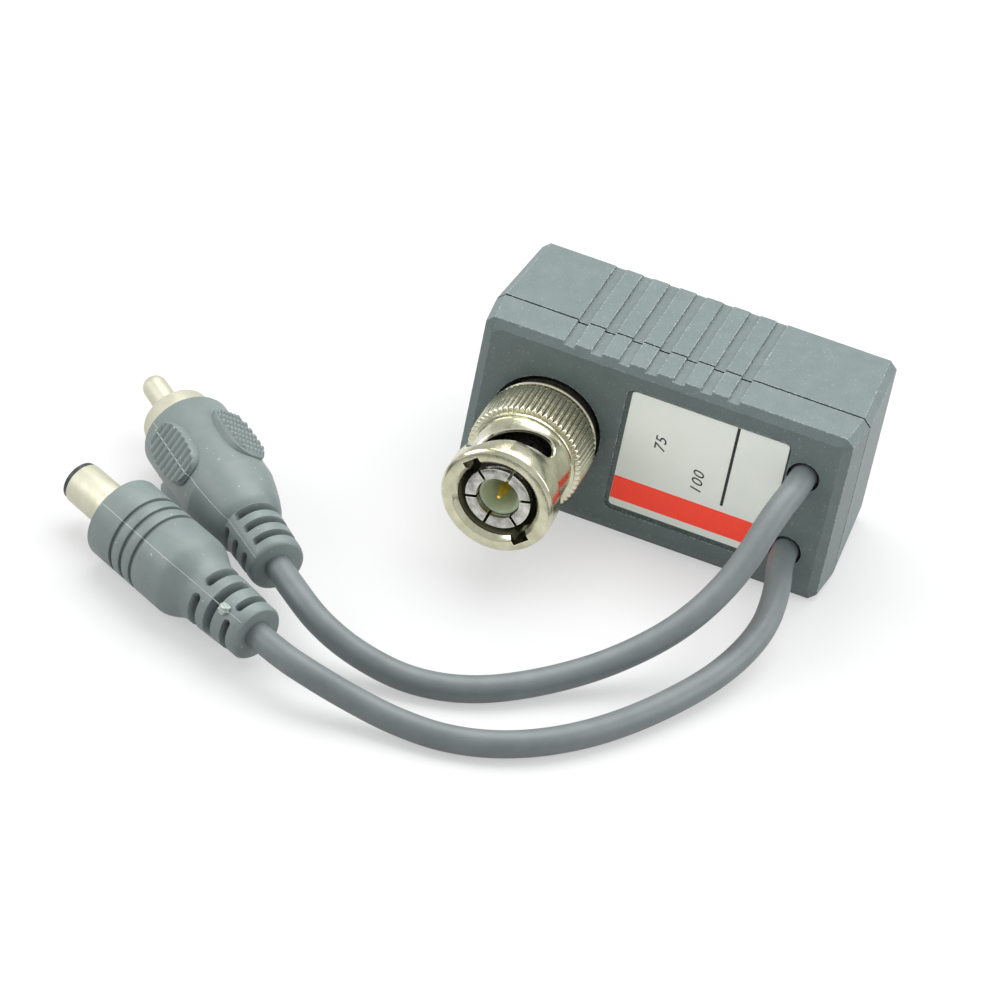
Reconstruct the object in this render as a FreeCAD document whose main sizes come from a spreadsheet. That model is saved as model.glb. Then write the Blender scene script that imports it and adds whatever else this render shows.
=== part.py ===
# Video balun for security cameras: a small grey housing that stands on its ribbed long side,
# with a male bayonet plug and two short leads on the label face and a modular jack on the back.
import FreeCAD, Part
import math
import os
import Sketcher

App = FreeCAD
Vector = App.Vector

doc = App.newDocument("video_balun")
sheet = doc.addObject("Spreadsheet::Sheet", "Sizes")

# Driving sizes in millimetres and degrees. Depths run from the label face to the back, and
# reaches run from the label face forwards, along the plug's axis.
SIZES = {
    # housing
    "box_length": 49.7, "box_height": 24.8, "box_depth": 21.6, "wall": 1.6,
    "front_depth": 5.95, "front_taper": 0.5, "base_spare": 0.05, "edge_chamfer": 1.0,
    "face_chamfer_depth": 0.65, "face_chamfer_inset": 1.15,
    "end_taper": 0.85, "back_taper": 0.6, "back_chamfer": 0.45,
    "parting_gap": 0.3, "tongue": 0.7, "tongue_length": 0.9, "tongue_play": 0.08,
    # shallow channels across the top
    "channel_first": 10.8, "channel_pitch": 3.63, "channel_width": 1.45, "channel_deep": 0.4,
    # label in its recess; its margins run to the lead holes and to the top
    "label_left": 20.45, "label_low": 3.65, "label_gap": 0.1, "label_top_margin": 3.15,
    "label_corner": 0.9, "label_recess": 0.45, "label_sheet": 0.2, "label_play": 0.3,
    # lead holes in the label face, from its right end, the upper one from its top
    "lead_inset": 5.65, "audio_lead_drop": 7.2, "power_lead_z": 6.2, "lead_hole_r": 2.1,
    "lead_r": 1.7,
    # circuit board and the posts that hold it
    "board_depth": 6.4, "board_thick": 1.2, "board_play": 0.2, "post_r": 1.1, "post_inset": 3.0,
    # bayonet plug, turned shell
    "plug_x": 10.85, "plug_z": 12.0, "well_r": 7.25, "well_deep": 2.2, "boss_r": 8.8,
    "nut_room": 0.4, "shank_r": 4.75, "shank_play": 0.1, "flange_r": 6.6, "flange_thick": 1.2,
    "seat_washer": 0.8, "seat_washer_r": 7.05, "neck_r": 4.4, "neck_reach": 5.6,
    "collar_r": 4.9, "collar_thick": 2.0, "finger_r": 4.05, "finger_tip_r": 4.25,
    "finger_tip_length": 0.8, "finger_bore_r": 2.8, "finger_reach": 17.8, "finger_slot": 0.35,
    "finger_slot_length": 8.3, "finger_count": 6, "finger_turn": 15.0, "core_r": 2.2, "core_reach": 7.0,
    "insulator_front": 0.9, "insulator_play": 0.12, "cup_r": 2.35, "cup_deep": 3.3, "cup_base_r": 1.1,
    "pin_r": 0.675, "pin_reach": 17.4, "pin_nose": 1.5, "pin_nose_r": 0.2, "pin_tail": 0.9,
    "shank_nut_flats": 11.5, "shank_nut_thick": 1.6,
    # coupling sleeve with its bayonet slots
    "sleeve_rear": 1.15, "sleeve_reach": 18.5, "knurl_r": 7.5, "knurl_from": 2.6, "knurl_to": 7.7,
    "knurl_count": 60, "knurl_deep": 0.35, "rim_r": 7.2, "rim_width": 0.65, "undercut_r": 6.95,
    "step_reach": 8.25, "step_r": 7.12, "ring_r": 6.8, "ring_reach": 8.8, "sleeve_neck_r": 6.4,
    "band_from": 15.1, "band_r": 7.25,
    "band_slope": 0.8, "band_edge": 0.4, "mouth_r": 5.7, "mouth_deep": 0.6, "bore_r": 5.1,
    "inner_flange_to": 4.0, "sleeve_play": 0.07, "notch_width": 2.4, "notch_r": 5.95,
    "notch_angle": 132.5, "slot_width": 2.8, "slot_turn": 72.0, "slot_start": 14.7,
    "slot_end": 11.85, "detent_r": 1.5,
    # small rings of the plug
    "clip_thick": 0.5, "clip_r": 5.6, "clip_groove_r": 3.9, "clip_gap": 0.05,
    "thrust_thick": 0.45, "ring_play": 0.05, "spring_wire": 0.25, "spring_waves": 3,
    "gasket_thick": 0.8,
    # modular jack on the board
    "jack_x": 30.25, "jack_z": 12.4, "jack_width": 15.6, "jack_height": 13.4, "jack_play": 0.15,
    "socket_width": 11.9, "socket_height": 6.9, "socket_back": 2.0, "socket_low": 3.0,
    "latch_width": 6.2, "latch_height": 1.6, "latch_tip_width": 3.3, "latch_tip_height": 1.3,
    "contact_count": 8, "contact_pitch": 1.02, "contact_width": 0.4, "contact_thick": 0.3,
    "contact_drop": 0.8, "contact_inset": 2.2, "contact_lean": 6.0, "contact_lift": 2.7,
    "contact_nose": 0.35, "lane_play": 0.1, "lane_front": 1.2,
    # parts on the board
    "core_outer_r": 4.6, "core_inner_r": 2.3, "core_thick": 4.0, "winding_thick": 0.45,
    "winding_angle": 26.0, "winding_turns": 5, "chip_length": 3.2, "chip_width": 1.6,
    "chip_thick": 0.6, "chip_gap": 0.6, "capacitor_thick": 1.1, "capacitor_inset": 3.4,
    "capacitor_rise": 3.0, "capacitor_drop": 6.0, "anchor_r": 2.7, "anchor_length": 2.6,
    "wire_r": 0.5, "wire_spread": 0.9,
    # phono plug on the audio lead
    "phono_x": -54.09, "phono_y": -20.90, "phono_heading": -43.9, "phono_turn": 28.5,
    "phono_length": 27.6, "phono_r": 5.8, "phono_barrel": 14.9, "phono_relief_from": 19.4,
    "phono_relief_r": 3.75, "phono_relief_end_r": 3.6, "phono_slot_first": 20.0,
    "phono_slot_pitch": 2.5, "phono_slot_width": 1.05, "grip_from": 1.6, "grip_length": 9.9,
    "grip_width": 5.8, "grip_base": 0.35, "grip_ridge": 0.4, "grip_ridges": 8,
    "grip_ridge_width": 0.62, "phono_shell_r": 4.45, "phono_shell_wall": 0.33,
    "phono_shell_reach": 3.2, "seam": 0.15, "phono_shell_deep": 4.8, "phono_pin_r": 1.6,
    "phono_pin_reach": 11.2, "phono_disc": 1.2,
    # coaxial power plug on the power lead
    "power_x": -54.58, "power_y": -40.00, "power_heading": -28.8, "power_turn": 43.7,
    "power_length": 26.0, "power_r": 5.5, "power_barrel": 13.4, "power_relief_from": 16.7,
    "power_relief_r": 4.05, "power_relief_end_r": 3.65, "power_slot_first": 17.9,
    "power_slot_pitch": 2.75, "power_slot_width": 1.15, "power_groove_first": 4.2,
    "power_groove_pitch": 1.9, "power_groove_width": 0.7, "power_groove_deep": 0.34,
    "barrel_r": 2.75, "barrel_reach": 7.75, "barrel_deep": 5.0, "barrel_wall": 0.6,
    "tip_ring": 0.65, "tip_ring_r": 2.6, "contact_wall": 0.4, "contact_bore_r": 1.05,
    # strain reliefs of both plugs
    "relief_core_r": 2.35, "relief_web": 1.5, "relief_slots": 3, "relief_collar": 1.5,
    # height of both plugs above the surface the housing stands on
    "plug_lift": 0.05,
}

for row, (word, value) in enumerate(SIZES.items(), start=1):
    sheet.set("A%d" % row, word)
    sheet.set("B%d" % row, str(value))
    sheet.setAlias("B%d" % row, word)
doc.recompute()


class Size:
    """A length with the sheet expression that gives it, so that a sum stays bound to the sheet."""

    def __init__(self, value, text):
        self.value = value
        self.text = text

    def _join(self, other, sign, result):
        words = other.text if isinstance(other, Size) else repr(float(other))
        return Size(result, "(%s %s %s)" % (self.text, sign, words))

    def __add__(self, other):
        return self._join(other, "+", self.value + number(other))

    def __sub__(self, other):
        return self._join(other, "-", self.value - number(other))

    def __mul__(self, factor):
        return self._join(factor, "*", self.value * number(factor))

    def __truediv__(self, factor):
        return self._join(factor, "/", self.value / number(factor))

    def __neg__(self):
        return self * -1.0


def number(item):
    return item.value if isinstance(item, Size) else float(item)


def size(word):
    return Size(float(sheet.get(word)), "Sizes." + word)


def bind(item, prop, length):
    """Ties one property of an object to the sheet."""
    if isinstance(length, Size):
        item.setExpression(prop, length.text)
    else:
        item.setExpression(prop, repr(float(length)))


ZERO = Size(0.0, "0.0")
NODES = {}


def keep(label, item):
    """Names a finished sub-part. The label is also the name of its file."""
    item.Label = label
    NODES[label] = item
    return item


def plane(body, role):
    return [part for part in body.Origin.OriginFeatures if part.Role == role][0]


def outline(body, name, role, points, offset=ZERO):
    """A closed outline on an origin plane, with every corner bound to the sheet."""
    sketch = body.newObject("Sketcher::SketchObject", name)
    sketch.AttachmentSupport = [(plane(body, role), "")]
    sketch.MapMode = "FlatFace"
    bind(sketch, "AttachmentOffset.Base.z", offset)
    add_loop(sketch, points)
    return sketch


def add_loop(sketch, points):
    first = sketch.GeometryCount
    places = [Vector(number(x), number(y), 0) for x, y in points]
    for index, start in enumerate(places):
        end = places[(index + 1) % len(places)]
        sketch.addGeometry(Part.LineSegment(start, end), False)
    for index in range(len(places)):
        following = first + (index + 1) % len(places)
        sketch.addConstraint(Sketcher.Constraint("Coincident", first + index, 2, following, 1))
    for index, (x, y) in enumerate(points):
        for kind, length in (("DistanceX", x), ("DistanceY", y)):
            if abs(number(length)) < 1e-9:
                axis = -2 if kind == "DistanceX" else -1
                sketch.addConstraint(Sketcher.Constraint("PointOnObject", first + index, 1, axis))
                continue
            at = sketch.addConstraint(
                Sketcher.Constraint(kind, -1, 1, first + index, 1, number(length)))
            if isinstance(length, Size):
                sketch.setExpression("Constraints[%d]" % at, length.text)


def add_circle(sketch, x, y, radius):
    at = sketch.addGeometry(Part.Circle(Vector(number(x), number(y), 0), Vector(0, 0, 1),
                                        number(radius)), False)
    for kind, length in (("DistanceX", x), ("DistanceY", y)):
        if abs(number(length)) < 1e-9:
            axis = -2 if kind == "DistanceX" else -1
            sketch.addConstraint(Sketcher.Constraint("PointOnObject", at, 3, axis))
            continue
        tie = sketch.addConstraint(Sketcher.Constraint(kind, -1, 1, at, 3, number(length)))
        if isinstance(length, Size):
            sketch.setExpression("Constraints[%d]" % tie, length.text)
    tie = sketch.addConstraint(Sketcher.Constraint("Radius", at, number(radius)))
    if isinstance(radius, Size):
        sketch.setExpression("Constraints[%d]" % tie, radius.text)


def rectangle(x, y, width, height):
    return [(x, y), (x + width, y), (x + width, y + height), (x, y + height)]


def pad(body, sketch, length, reverse=False, name="Pad"):
    feature = body.newObject("PartDesign::Pad", name)
    feature.Profile = sketch
    bind(feature, "Length", length)
    feature.Reversed = reverse
    return feature


def pocket(body, sketch, length, reverse=False, name="Pocket"):
    feature = body.newObject("PartDesign::Pocket", name)
    feature.Profile = sketch
    bind(feature, "Length", length)
    feature.Reversed = reverse
    return feature


def polar(body, feature, count, name="Around"):
    pattern = body.newObject("PartDesign::PolarPattern", name)
    pattern.Originals = [feature]
    pattern.Axis = (plane(body, "Z_Axis"), [""])
    pattern.Angle = 360
    bind(pattern, "Occurrences", count)
    body.Tip = pattern
    return pattern


def turned(name, points):
    """A piece turned about its own Z axis. Points are radius and height, from its rear end."""
    body = doc.addObject("PartDesign::Body", name)
    sketch = outline(body, "Section", "XZ_Plane", points)
    spin = body.newObject("PartDesign::Revolution", "Turn")
    spin.Profile = sketch
    spin.ReferenceAxis = (sketch, ["V_Axis"])
    spin.Angle = 360
    body.Tip = spin
    return body


def ring(name, inner, outer, thick):
    return turned(name, [(inner, ZERO), (outer, ZERO), (outer, thick), (inner, thick)])


# The housing stands on its ribbed side. Its own frame starts at the lower left corner of the
# label face, and the whole part is measured from the middle of its box.
label_face_y = (size("sleeve_reach") - size("box_depth")) / 2
lead_place = size("box_length") - size("lead_inset")
audio_height = size("box_height") - size("audio_lead_drop")
label_right = lead_place - size("lead_hole_r") - size("label_gap")
label_top = size("box_height") - size("label_top_margin")
boss_deep = size("board_depth") - size("shank_nut_thick") - size("nut_room")
board_back = size("board_depth") + size("board_thick")
LEFT = -(size("box_length") / 2)


def seat_in_housing(item):
    bind(item, "Placement.Base.x", LEFT)
    bind(item, "Placement.Base.y", label_face_y)
    return item


def on_plug_axis(item, reach, turn=ZERO):
    """Lays a turned piece on the bayonet plug's axis, its rear end a reach before the face."""
    rotation = App.Rotation(Vector(1, 0, 0), 90) * App.Rotation(Vector(0, 0, 1), number(turn))
    item.Placement = App.Placement(Vector(0, 0, 0), rotation)
    bind(item, "Placement.Base.x", LEFT + size("plug_x"))
    bind(item, "Placement.Base.y", label_face_y - reach)
    bind(item, "Placement.Base.z", size("plug_z"))
    return item


# Housing half shells. Each is drawn as sections across the depth, the long edges chamfered.
def shell_section(body, name, depth, end_inset, inset, spare=ZERO):
    """An eight-cornered section. end_inset draws in its two ends, inset its top and bottom, and
    spare is added below, to be cut off flat."""
    cut = size("edge_chamfer")
    left = end_inset
    right = size("box_length") - end_inset
    low = inset - spare
    top = size("box_height") - inset
    points = [(left + cut, low), (right - cut, low), (right, low + cut), (right, top - cut),
              (right - cut, top), (left + cut, top), (left, top - cut), (left, low + cut)]
    return outline(body, name, "XZ_Plane", points, -depth)


def shell_block(body, sections):
    loft = body.newObject("PartDesign::AdditiveLoft", "Block")
    loft.Profile = sections[0]
    loft.Sections = [(section, [""]) for section in sections[1:]]
    loft.Ruled = True
    return loft


def channels(body, start, length, taper=ZERO):
    """The shallow channels across the top, which leave the ribs between them. They follow the
    taper of the wall, so that they are equally deep all the way."""
    deep = size("channel_deep")
    spare = Size(0.5, "0.5")
    sketch = body.newObject("Sketcher::SketchObject", "Channels")
    sketch.AttachmentSupport = [(plane(body, "XZ_Plane"), "")]
    sketch.MapMode = "FlatFace"
    bind(sketch, "AttachmentOffset.Base.z", -start)
    for index in range(7):
        x = size("channel_first") + size("channel_pitch") * index
        add_loop(sketch, rectangle(x, size("box_height") - deep, size("channel_width"), deep + spare))
    cut = pocket(body, sketch, length, name="ChannelCut")
    cut.UseCustomVector = True
    cut.Direction = Vector(0, number(length), -number(taper))
    cut.AlongSketchNormal = True
    bind(cut, "Direction.y", length)
    bind(cut, "Direction.z", -taper)


def post_places():
    inset = size("post_inset")
    return [(x, z) for x in (inset, size("box_length") - inset)
            for z in (inset, size("box_height") - inset)]


def posts(body, start, length, reverse=True):
    sketch = body.newObject("Sketcher::SketchObject", "Posts")
    sketch.AttachmentSupport = [(plane(body, "XZ_Plane"), "")]
    sketch.MapMode = "FlatFace"
    bind(sketch, "AttachmentOffset.Base.z", -start)
    for x, z in post_places():
        add_circle(sketch, x, z, size("post_r"))
    pad(body, sketch, length, reverse=reverse, name="PostPads")


def circle_cut(body, name, x, z, radius, start, length):
    sketch = body.newObject("Sketcher::SketchObject", name)
    sketch.AttachmentSupport = [(plane(body, "XZ_Plane"), "")]
    sketch.MapMode = "FlatFace"
    bind(sketch, "AttachmentOffset.Base.z", -start)
    add_circle(sketch, x, z, radius)
    return pocket(body, sketch, length, name=name + "Cut")


def make_front_shell():
    body = doc.addObject("PartDesign::Body", "FrontShell")
    depth = size("front_depth")
    wall = size("wall")
    inset = size("face_chamfer_inset")
    taper = size("front_taper")
    spare = size("base_spare")
    shell_block(body, [shell_section(body, "Face", ZERO, inset + taper, inset),
                       shell_section(body, "Shoulder", size("face_chamfer_depth"), taper, ZERO,
                                     spare),
                       shell_section(body, "Parting", depth, ZERO, ZERO, spare)])
    # The base is cut to one plane, so that the housing stands on it.
    base = outline(body, "Base", "XZ_Plane", rectangle(ZERO, -spare * 2, size("box_length"),
                                                       spare * 2), ZERO)
    pocket(body, base, depth, name="BaseCut")
    # The tongue stands inside the wall and enters the rear shell.
    side = wall - size("tongue")
    rim = outline(body, "Tongue", "XZ_Plane",
                  rectangle(side, side, size("box_length") - side * 2, size("box_height") - side * 2),
                  -depth)
    pad(body, rim, size("tongue_length"), reverse=True, name="TonguePad")
    hollow = outline(body, "Hollow", "XZ_Plane",
                     rectangle(wall, wall, size("box_length") - wall * 2,
                               size("box_height") - wall * 2), -wall)
    pocket(body, hollow, depth + size("tongue_length"), name="HollowCut")
    boss = body.newObject("Sketcher::SketchObject", "Boss")
    boss.AttachmentSupport = [(plane(body, "XZ_Plane"), "")]
    boss.MapMode = "FlatFace"
    bind(boss, "AttachmentOffset.Base.z", -wall)
    add_circle(boss, size("plug_x"), size("plug_z"), size("boss_r"))
    pad(body, boss, boss_deep - wall, reverse=True, name="BossPad")
    posts(body, wall, size("board_depth") - wall)
    circle_cut(body, "Well", size("plug_x"), size("plug_z"), size("well_r"), ZERO, size("well_deep"))
    circle_cut(body, "ShankHole", size("plug_x"), size("plug_z"),
               size("shank_r") + size("shank_play"), ZERO, boss_deep + 1)
    for name, height in (("AudioHole", audio_height), ("PowerHole", size("power_lead_z"))):
        circle_cut(body, name, lead_place, height, size("lead_hole_r"), ZERO, wall + 0.5)
    channels(body, ZERO, depth)
    recess = outline(body, "LabelRecess", "XZ_Plane", label_outline(ZERO))
    body.Tip = pocket(body, recess, size("label_recess"), name="RecessCut")
    return keep("front_shell", seat_in_housing(body))


def label_outline(margin):
    """The label's outline, its corners cut twice so that they read as round."""
    left = size("label_left") + margin
    low = size("label_low") + margin
    right = label_right - margin
    top = label_top - margin
    big = size("label_corner")
    small = big * 0.3
    return [(left + big, low), (right - big, low), (right - small, low + small),
            (right, low + big), (right, top - big), (right - small, top - small),
            (right - big, top), (left + big, top), (left + small, top - small),
            (left, top - big), (left, low + big), (left + small, low + small)]


def make_rear_shell():
    body = doc.addObject("PartDesign::Body", "RearShell")
    start = size("front_depth") + size("parting_gap")
    end = size("box_depth")
    wall = size("wall")
    taper = size("back_taper")
    edge = size("back_chamfer")
    ends = size("end_taper")
    shell_block(body, [shell_section(body, "Parting", start, ZERO, ZERO),
                       shell_section(body, "Tail", end - edge, ends, taper),
                       shell_section(body, "Back", end, ends + edge, taper + edge)])
    inner = wall + taper
    inner_end = wall + ends
    hollow = outline(body, "Hollow", "XZ_Plane",
                     rectangle(inner_end, inner, size("box_length") - inner_end * 2,
                               size("box_height") - inner * 2), -start)
    pocket(body, hollow, end - start - wall, name="HollowCut")
    # The rabbet takes the front shell's tongue, whose end seats on its floor.
    side = wall - size("tongue") - size("tongue_play")
    rabbet = outline(body, "Rabbet", "XZ_Plane",
                     rectangle(side, side, size("box_length") - side * 2,
                               size("box_height") - side * 2), -start)
    pocket(body, rabbet, size("tongue_length") - size("parting_gap"), name="RabbetCut")
    posts(body, board_back, end - wall - board_back)
    width = size("jack_width") + size("jack_play") * 2
    height = size("jack_height") + size("jack_play") * 2
    window = outline(body, "JackWindow", "XZ_Plane",
                     rectangle(size("jack_x") - width / 2, size("jack_z") - height / 2, width, height),
                     -(end - wall - 0.5))
    pocket(body, window, wall + 1, name="WindowCut")
    channels(body, start, end - start, taper * (end - start).value / (end - edge - start).value)
    body.Tip = body.Group[-1]
    return keep("rear_shell", seat_in_housing(body))


def make_label():
    body = doc.addObject("PartDesign::Body", "LabelSheet")
    sketch = outline(body, "Outline", "XZ_Plane", label_outline(size("label_play")),
                     -size("label_recess"))
    body.Tip = pad(body, sketch, size("label_sheet"), name="SheetPad")
    return keep("label_sheet", seat_in_housing(body))


# Circuit board, flat behind the label face, bored for the plug's centre pin.
def make_board():
    end = size("wall") + size("end_taper") + size("board_play")
    side = size("wall") + size("back_taper") + size("board_play")
    body = doc.addObject("PartDesign::Body", "Board")
    sketch = outline(body, "Outline", "XZ_Plane",
                     rectangle(end, side, size("box_length") - end * 2,
                               size("box_height") - side * 2), -size("board_depth"))
    pad(body, sketch, size("board_thick"), reverse=True, name="BoardPad")
    body.Tip = circle_cut(body, "PinHole", size("plug_x"), size("plug_z"),
                          size("pin_r") + size("ring_play"), size("board_depth"),
                          size("board_thick") + 0.5)
    return keep("circuit_board", seat_in_housing(body))


# Bayonet plug: the turned shell with its shank, neck, collar and six spring fingers.
def make_plug_shell():
    rear = -(size("board_depth") - 0.1)
    flange_rear = -(size("well_deep") - size("seat_washer"))
    flange_front = flange_rear + size("flange_thick")
    clip_rear = size("sleeve_rear") - size("clip_gap") - size("clip_thick")
    clip_front = size("sleeve_rear") - size("clip_gap")
    collar_front = size("neck_reach") + size("collar_thick")
    tip = size("finger_reach")
    tip_rear = tip - size("finger_tip_length")
    points = [(size("core_r"), rear), (size("shank_r"), rear), (size("shank_r"), flange_rear),
              (size("flange_r"), flange_rear), (size("flange_r"), flange_front),
              (size("neck_r"), flange_front), (size("neck_r"), clip_rear),
              (size("clip_groove_r"), clip_rear), (size("clip_groove_r"), clip_front),
              (size("neck_r"), clip_front), (size("neck_r"), size("neck_reach")),
              (size("collar_r"), size("neck_reach")), (size("collar_r"), collar_front),
              (size("finger_r"), collar_front), (size("finger_r"), tip_rear - 0.5),
              (size("finger_tip_r"), tip_rear), (size("finger_tip_r"), tip),
              (size("finger_bore_r"), tip), (size("finger_bore_r"), size("core_reach")),
              (size("core_r"), size("core_reach"))]
    body = turned("PlugShell", [(radius, reach - rear) for radius, reach in points])
    width = size("finger_slot")
    start = tip - rear - size("finger_slot_length")
    slot = outline(body, "FingerSlot", "XY_Plane",
                   [(size("core_r"), ZERO), (size("finger_tip_r") + 1, ZERO),
                    (size("finger_tip_r") + 1, width), (size("core_r"), width)], start)
    cut = pocket(body, slot, size("finger_slot_length") + 1, reverse=True, name="FingerCut")
    polar(body, cut, size("finger_count"))
    return keep("plug_shell", on_plug_axis(body, rear, size("finger_turn")))


def make_insulator():
    rear = -(size("board_depth") - 0.1)
    front = size("finger_reach") - size("insulator_front")
    play = size("insulator_play")
    bore = size("pin_r")
    cup_base = front - size("cup_deep")
    inside = size("core_r") - size("ring_play")
    points = [(bore, rear), (inside, rear), (inside, size("core_reach")),
              (size("finger_bore_r") - play, size("core_reach")),
              (size("finger_bore_r") - play, front), (size("cup_r"), front),
              (size("cup_base_r"), cup_base), (bore, cup_base)]
    body = turned("PlugInsulator", [(radius, reach - rear) for radius, reach in points])
    return keep("plug_insulator", on_plug_axis(body, rear))


def make_centre_pin():
    rear = -(board_back + size("pin_tail"))
    reach = size("pin_reach")
    nose = reach - size("pin_nose")
    points = [(ZERO, rear), (size("pin_r"), rear), (size("pin_r"), nose),
              (size("pin_nose_r"), reach), (ZERO, reach)]
    body = turned("CentrePin", [(radius, along - rear) for radius, along in points])
    return keep("centre_pin", on_plug_axis(body, rear))


def make_small_rings():
    deep = size("well_deep")
    washer = ring("SeatWasher", size("shank_r") + size("shank_play"), size("seat_washer_r"),
                  size("seat_washer"))
    keep("seat_washer", on_plug_axis(washer, -deep))
    gasket = ring("Gasket", size("finger_r") + size("ring_play"), size("collar_r") - 0.05,
                  size("gasket_thick"))
    keep("face_gasket", on_plug_axis(gasket, size("neck_reach") + size("collar_thick")))
    thrust = ring("ThrustWasher", size("neck_r") + size("sleeve_play"),
                  size("bore_r") - size("sleeve_play") * 2, size("thrust_thick"))
    keep("thrust_washer", on_plug_axis(thrust, size("inner_flange_to")))
    # The retaining clip is an open ring, sprung into the groove of the neck.
    clip = ring("Clip", size("clip_groove_r") + size("ring_play"), size("clip_r"), size("clip_thick"))
    mouth = outline(clip, "Mouth", "XY_Plane",
                    rectangle(ZERO, ZERO, size("clip_r") * 1.5, size("clip_groove_r") * 0.8))
    clip.Tip = pocket(clip, mouth, size("clip_thick") + 1, reverse=True, name="MouthCut")
    keep("retaining_clip", on_plug_axis(clip, size("sleeve_rear") - size("clip_gap")
                                        - size("clip_thick")))


def make_shank_nut():
    flats = size("shank_nut_flats")
    corner = flats / math.sqrt(3)
    half = corner / 2
    body = doc.addObject("PartDesign::Body", "ShankNut")
    middle = corner
    points = [(middle + corner, flats / 2), (middle + half, flats), (middle - half, flats),
              (middle - corner, flats / 2), (middle - half, ZERO), (middle + half, ZERO)]
    sketch = outline(body, "Hexagon", "XY_Plane", points)
    add_circle(sketch, middle, flats / 2, size("shank_r") + 0.03)
    body.Tip = pad(body, sketch, size("shank_nut_thick"), name="NutPad")
    body.Placement = App.Placement(Vector(0, 0, 0), App.Rotation(Vector(1, 0, 0), 90))
    bind(body, "Placement.Base.x", LEFT + size("plug_x") - corner)
    bind(body, "Placement.Base.y", label_face_y + boss_deep + size("shank_nut_thick"))
    bind(body, "Placement.Base.z", size("plug_z") - flats / 2)
    return keep("shank_nut", body)


# The coupling sleeve takes the most skill: two helical bayonet slots run through its neck, each
# from an entry notch in the bore to a round detent, and a straight knurl gives it its grip.
def make_sleeve():
    rear = size("sleeve_rear")
    front = size("sleeve_reach")
    rim_front = rear + size("rim_width")
    chamfer = 0.3
    points = [(size("neck_r") + size("sleeve_play"), rear), (size("rim_r") - chamfer, rear),
              (size("rim_r"), rear + chamfer), (size("rim_r"), rim_front),
              (size("undercut_r"), rim_front), (size("undercut_r"), size("knurl_from")),
              (size("knurl_r"), size("knurl_from")), (size("knurl_r"), size("knurl_to")),
              (size("step_r"), size("step_reach")), (size("ring_r"), size("step_reach")),
              (size("ring_r"), size("ring_reach")), (size("sleeve_neck_r"), size("ring_reach")),
              (size("sleeve_neck_r"), size("band_from") - size("band_slope")),
              (size("band_r"), size("band_from")), (size("band_r"), front - size("band_edge")),
              (size("band_r") - size("band_edge"), front), (size("mouth_r"), front),
              (size("bore_r"), front - size("mouth_deep")), (size("bore_r"), size("inner_flange_to")),
              (size("neck_r") + size("sleeve_play"), size("inner_flange_to"))]
    body = turned("Sleeve", [(radius, reach - rear) for radius, reach in points])
    # One groove of the knurl, repeated round the grip.
    half = size("knurl_r") * math.sin(math.pi / SIZES["knurl_count"]) * 0.8
    root = size("knurl_r") - size("knurl_deep")
    outer = size("knurl_r") + 0.4
    groove = outline(body, "KnurlGroove", "XY_Plane",
                     [(root, half), (outer, ZERO), (outer, half * 2)],
                     size("knurl_from") - rear - 0.1)
    cut = pocket(body, groove, size("knurl_to") - size("knurl_from") + 0.5, reverse=True,
                 name="KnurlCut")
    polar(body, cut, size("knurl_count"), name="Knurl")
    cutters = []
    for start_angle in (size("notch_angle"), size("notch_angle") + 180):
        cutters += bayonet_cutters(start_angle, rear)
    slots = doc.addObject("Part::MultiFuse", "BayonetCutters")
    slots.Shapes = cutters
    sleeve = doc.addObject("Part::Cut", "CouplingSleeve")
    sleeve.Base = body
    sleeve.Tool = slots
    return keep("coupling_sleeve", on_plug_axis(sleeve, rear))


def bayonet_cutters(start_angle, rear):
    """Clears the entry notch, then the slot from it round the neck to the round detent. The slot
    is steep by the notch and flattens towards the detent."""
    steps = 6
    inner = size("finger_tip_r") + 0.3
    outer = size("band_r") + 0.6
    notch = doc.addObject("Part::Box", "Notch")
    bind(notch, "Length", size("notch_r") - inner)
    bind(notch, "Width", size("notch_width"))
    bind(notch, "Height", size("sleeve_reach") - size("slot_start") + 1)
    turn_out(notch, start_angle, inner, size("notch_width") / 2, size("slot_start") - rear)
    places = []
    for index in range(steps + 1):
        share = index / steps
        angle = number(start_angle) - number(size("slot_turn")) * share
        rise = (number(size("slot_start")) - number(size("slot_end"))) * (1 - share) ** 1.3
        places.append((angle, number(size("slot_end")) + rise - number(rear)))
    pieces = [notch]
    for first, second in zip(places, places[1:]):
        pieces.append(slot_block(first, second, inner, outer))
    detent = doc.addObject("Part::Cylinder", "Detent")
    bind(detent, "Radius", size("detent_r"))
    bind(detent, "Height", outer - inner)
    lay_out(detent, places[-1][0], inner, places[-1][1])
    return pieces + [detent]


def turn_out(block, angle, radius, half_width, height):
    """Sets a block at an angle round the Z axis, its inner face at a radius."""
    turn = math.radians(number(angle))
    block.Placement = App.Placement(
        Vector(number(radius) * math.cos(turn) + number(half_width) * math.sin(turn),
               number(radius) * math.sin(turn) - number(half_width) * math.cos(turn),
               number(height)),
        App.Rotation(Vector(0, 0, 1), number(angle)))


def lay_out(mill, angle, radius, height):
    """Points a cylinder out from the Z axis at an angle."""
    turn = math.radians(number(angle))
    rotation = App.Rotation(Vector(0, 0, 1), number(angle)) * App.Rotation(Vector(0, 1, 0), 90)
    mill.Placement = App.Placement(
        Vector(number(radius) * math.cos(turn), number(radius) * math.sin(turn), number(height)),
        rotation)


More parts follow.
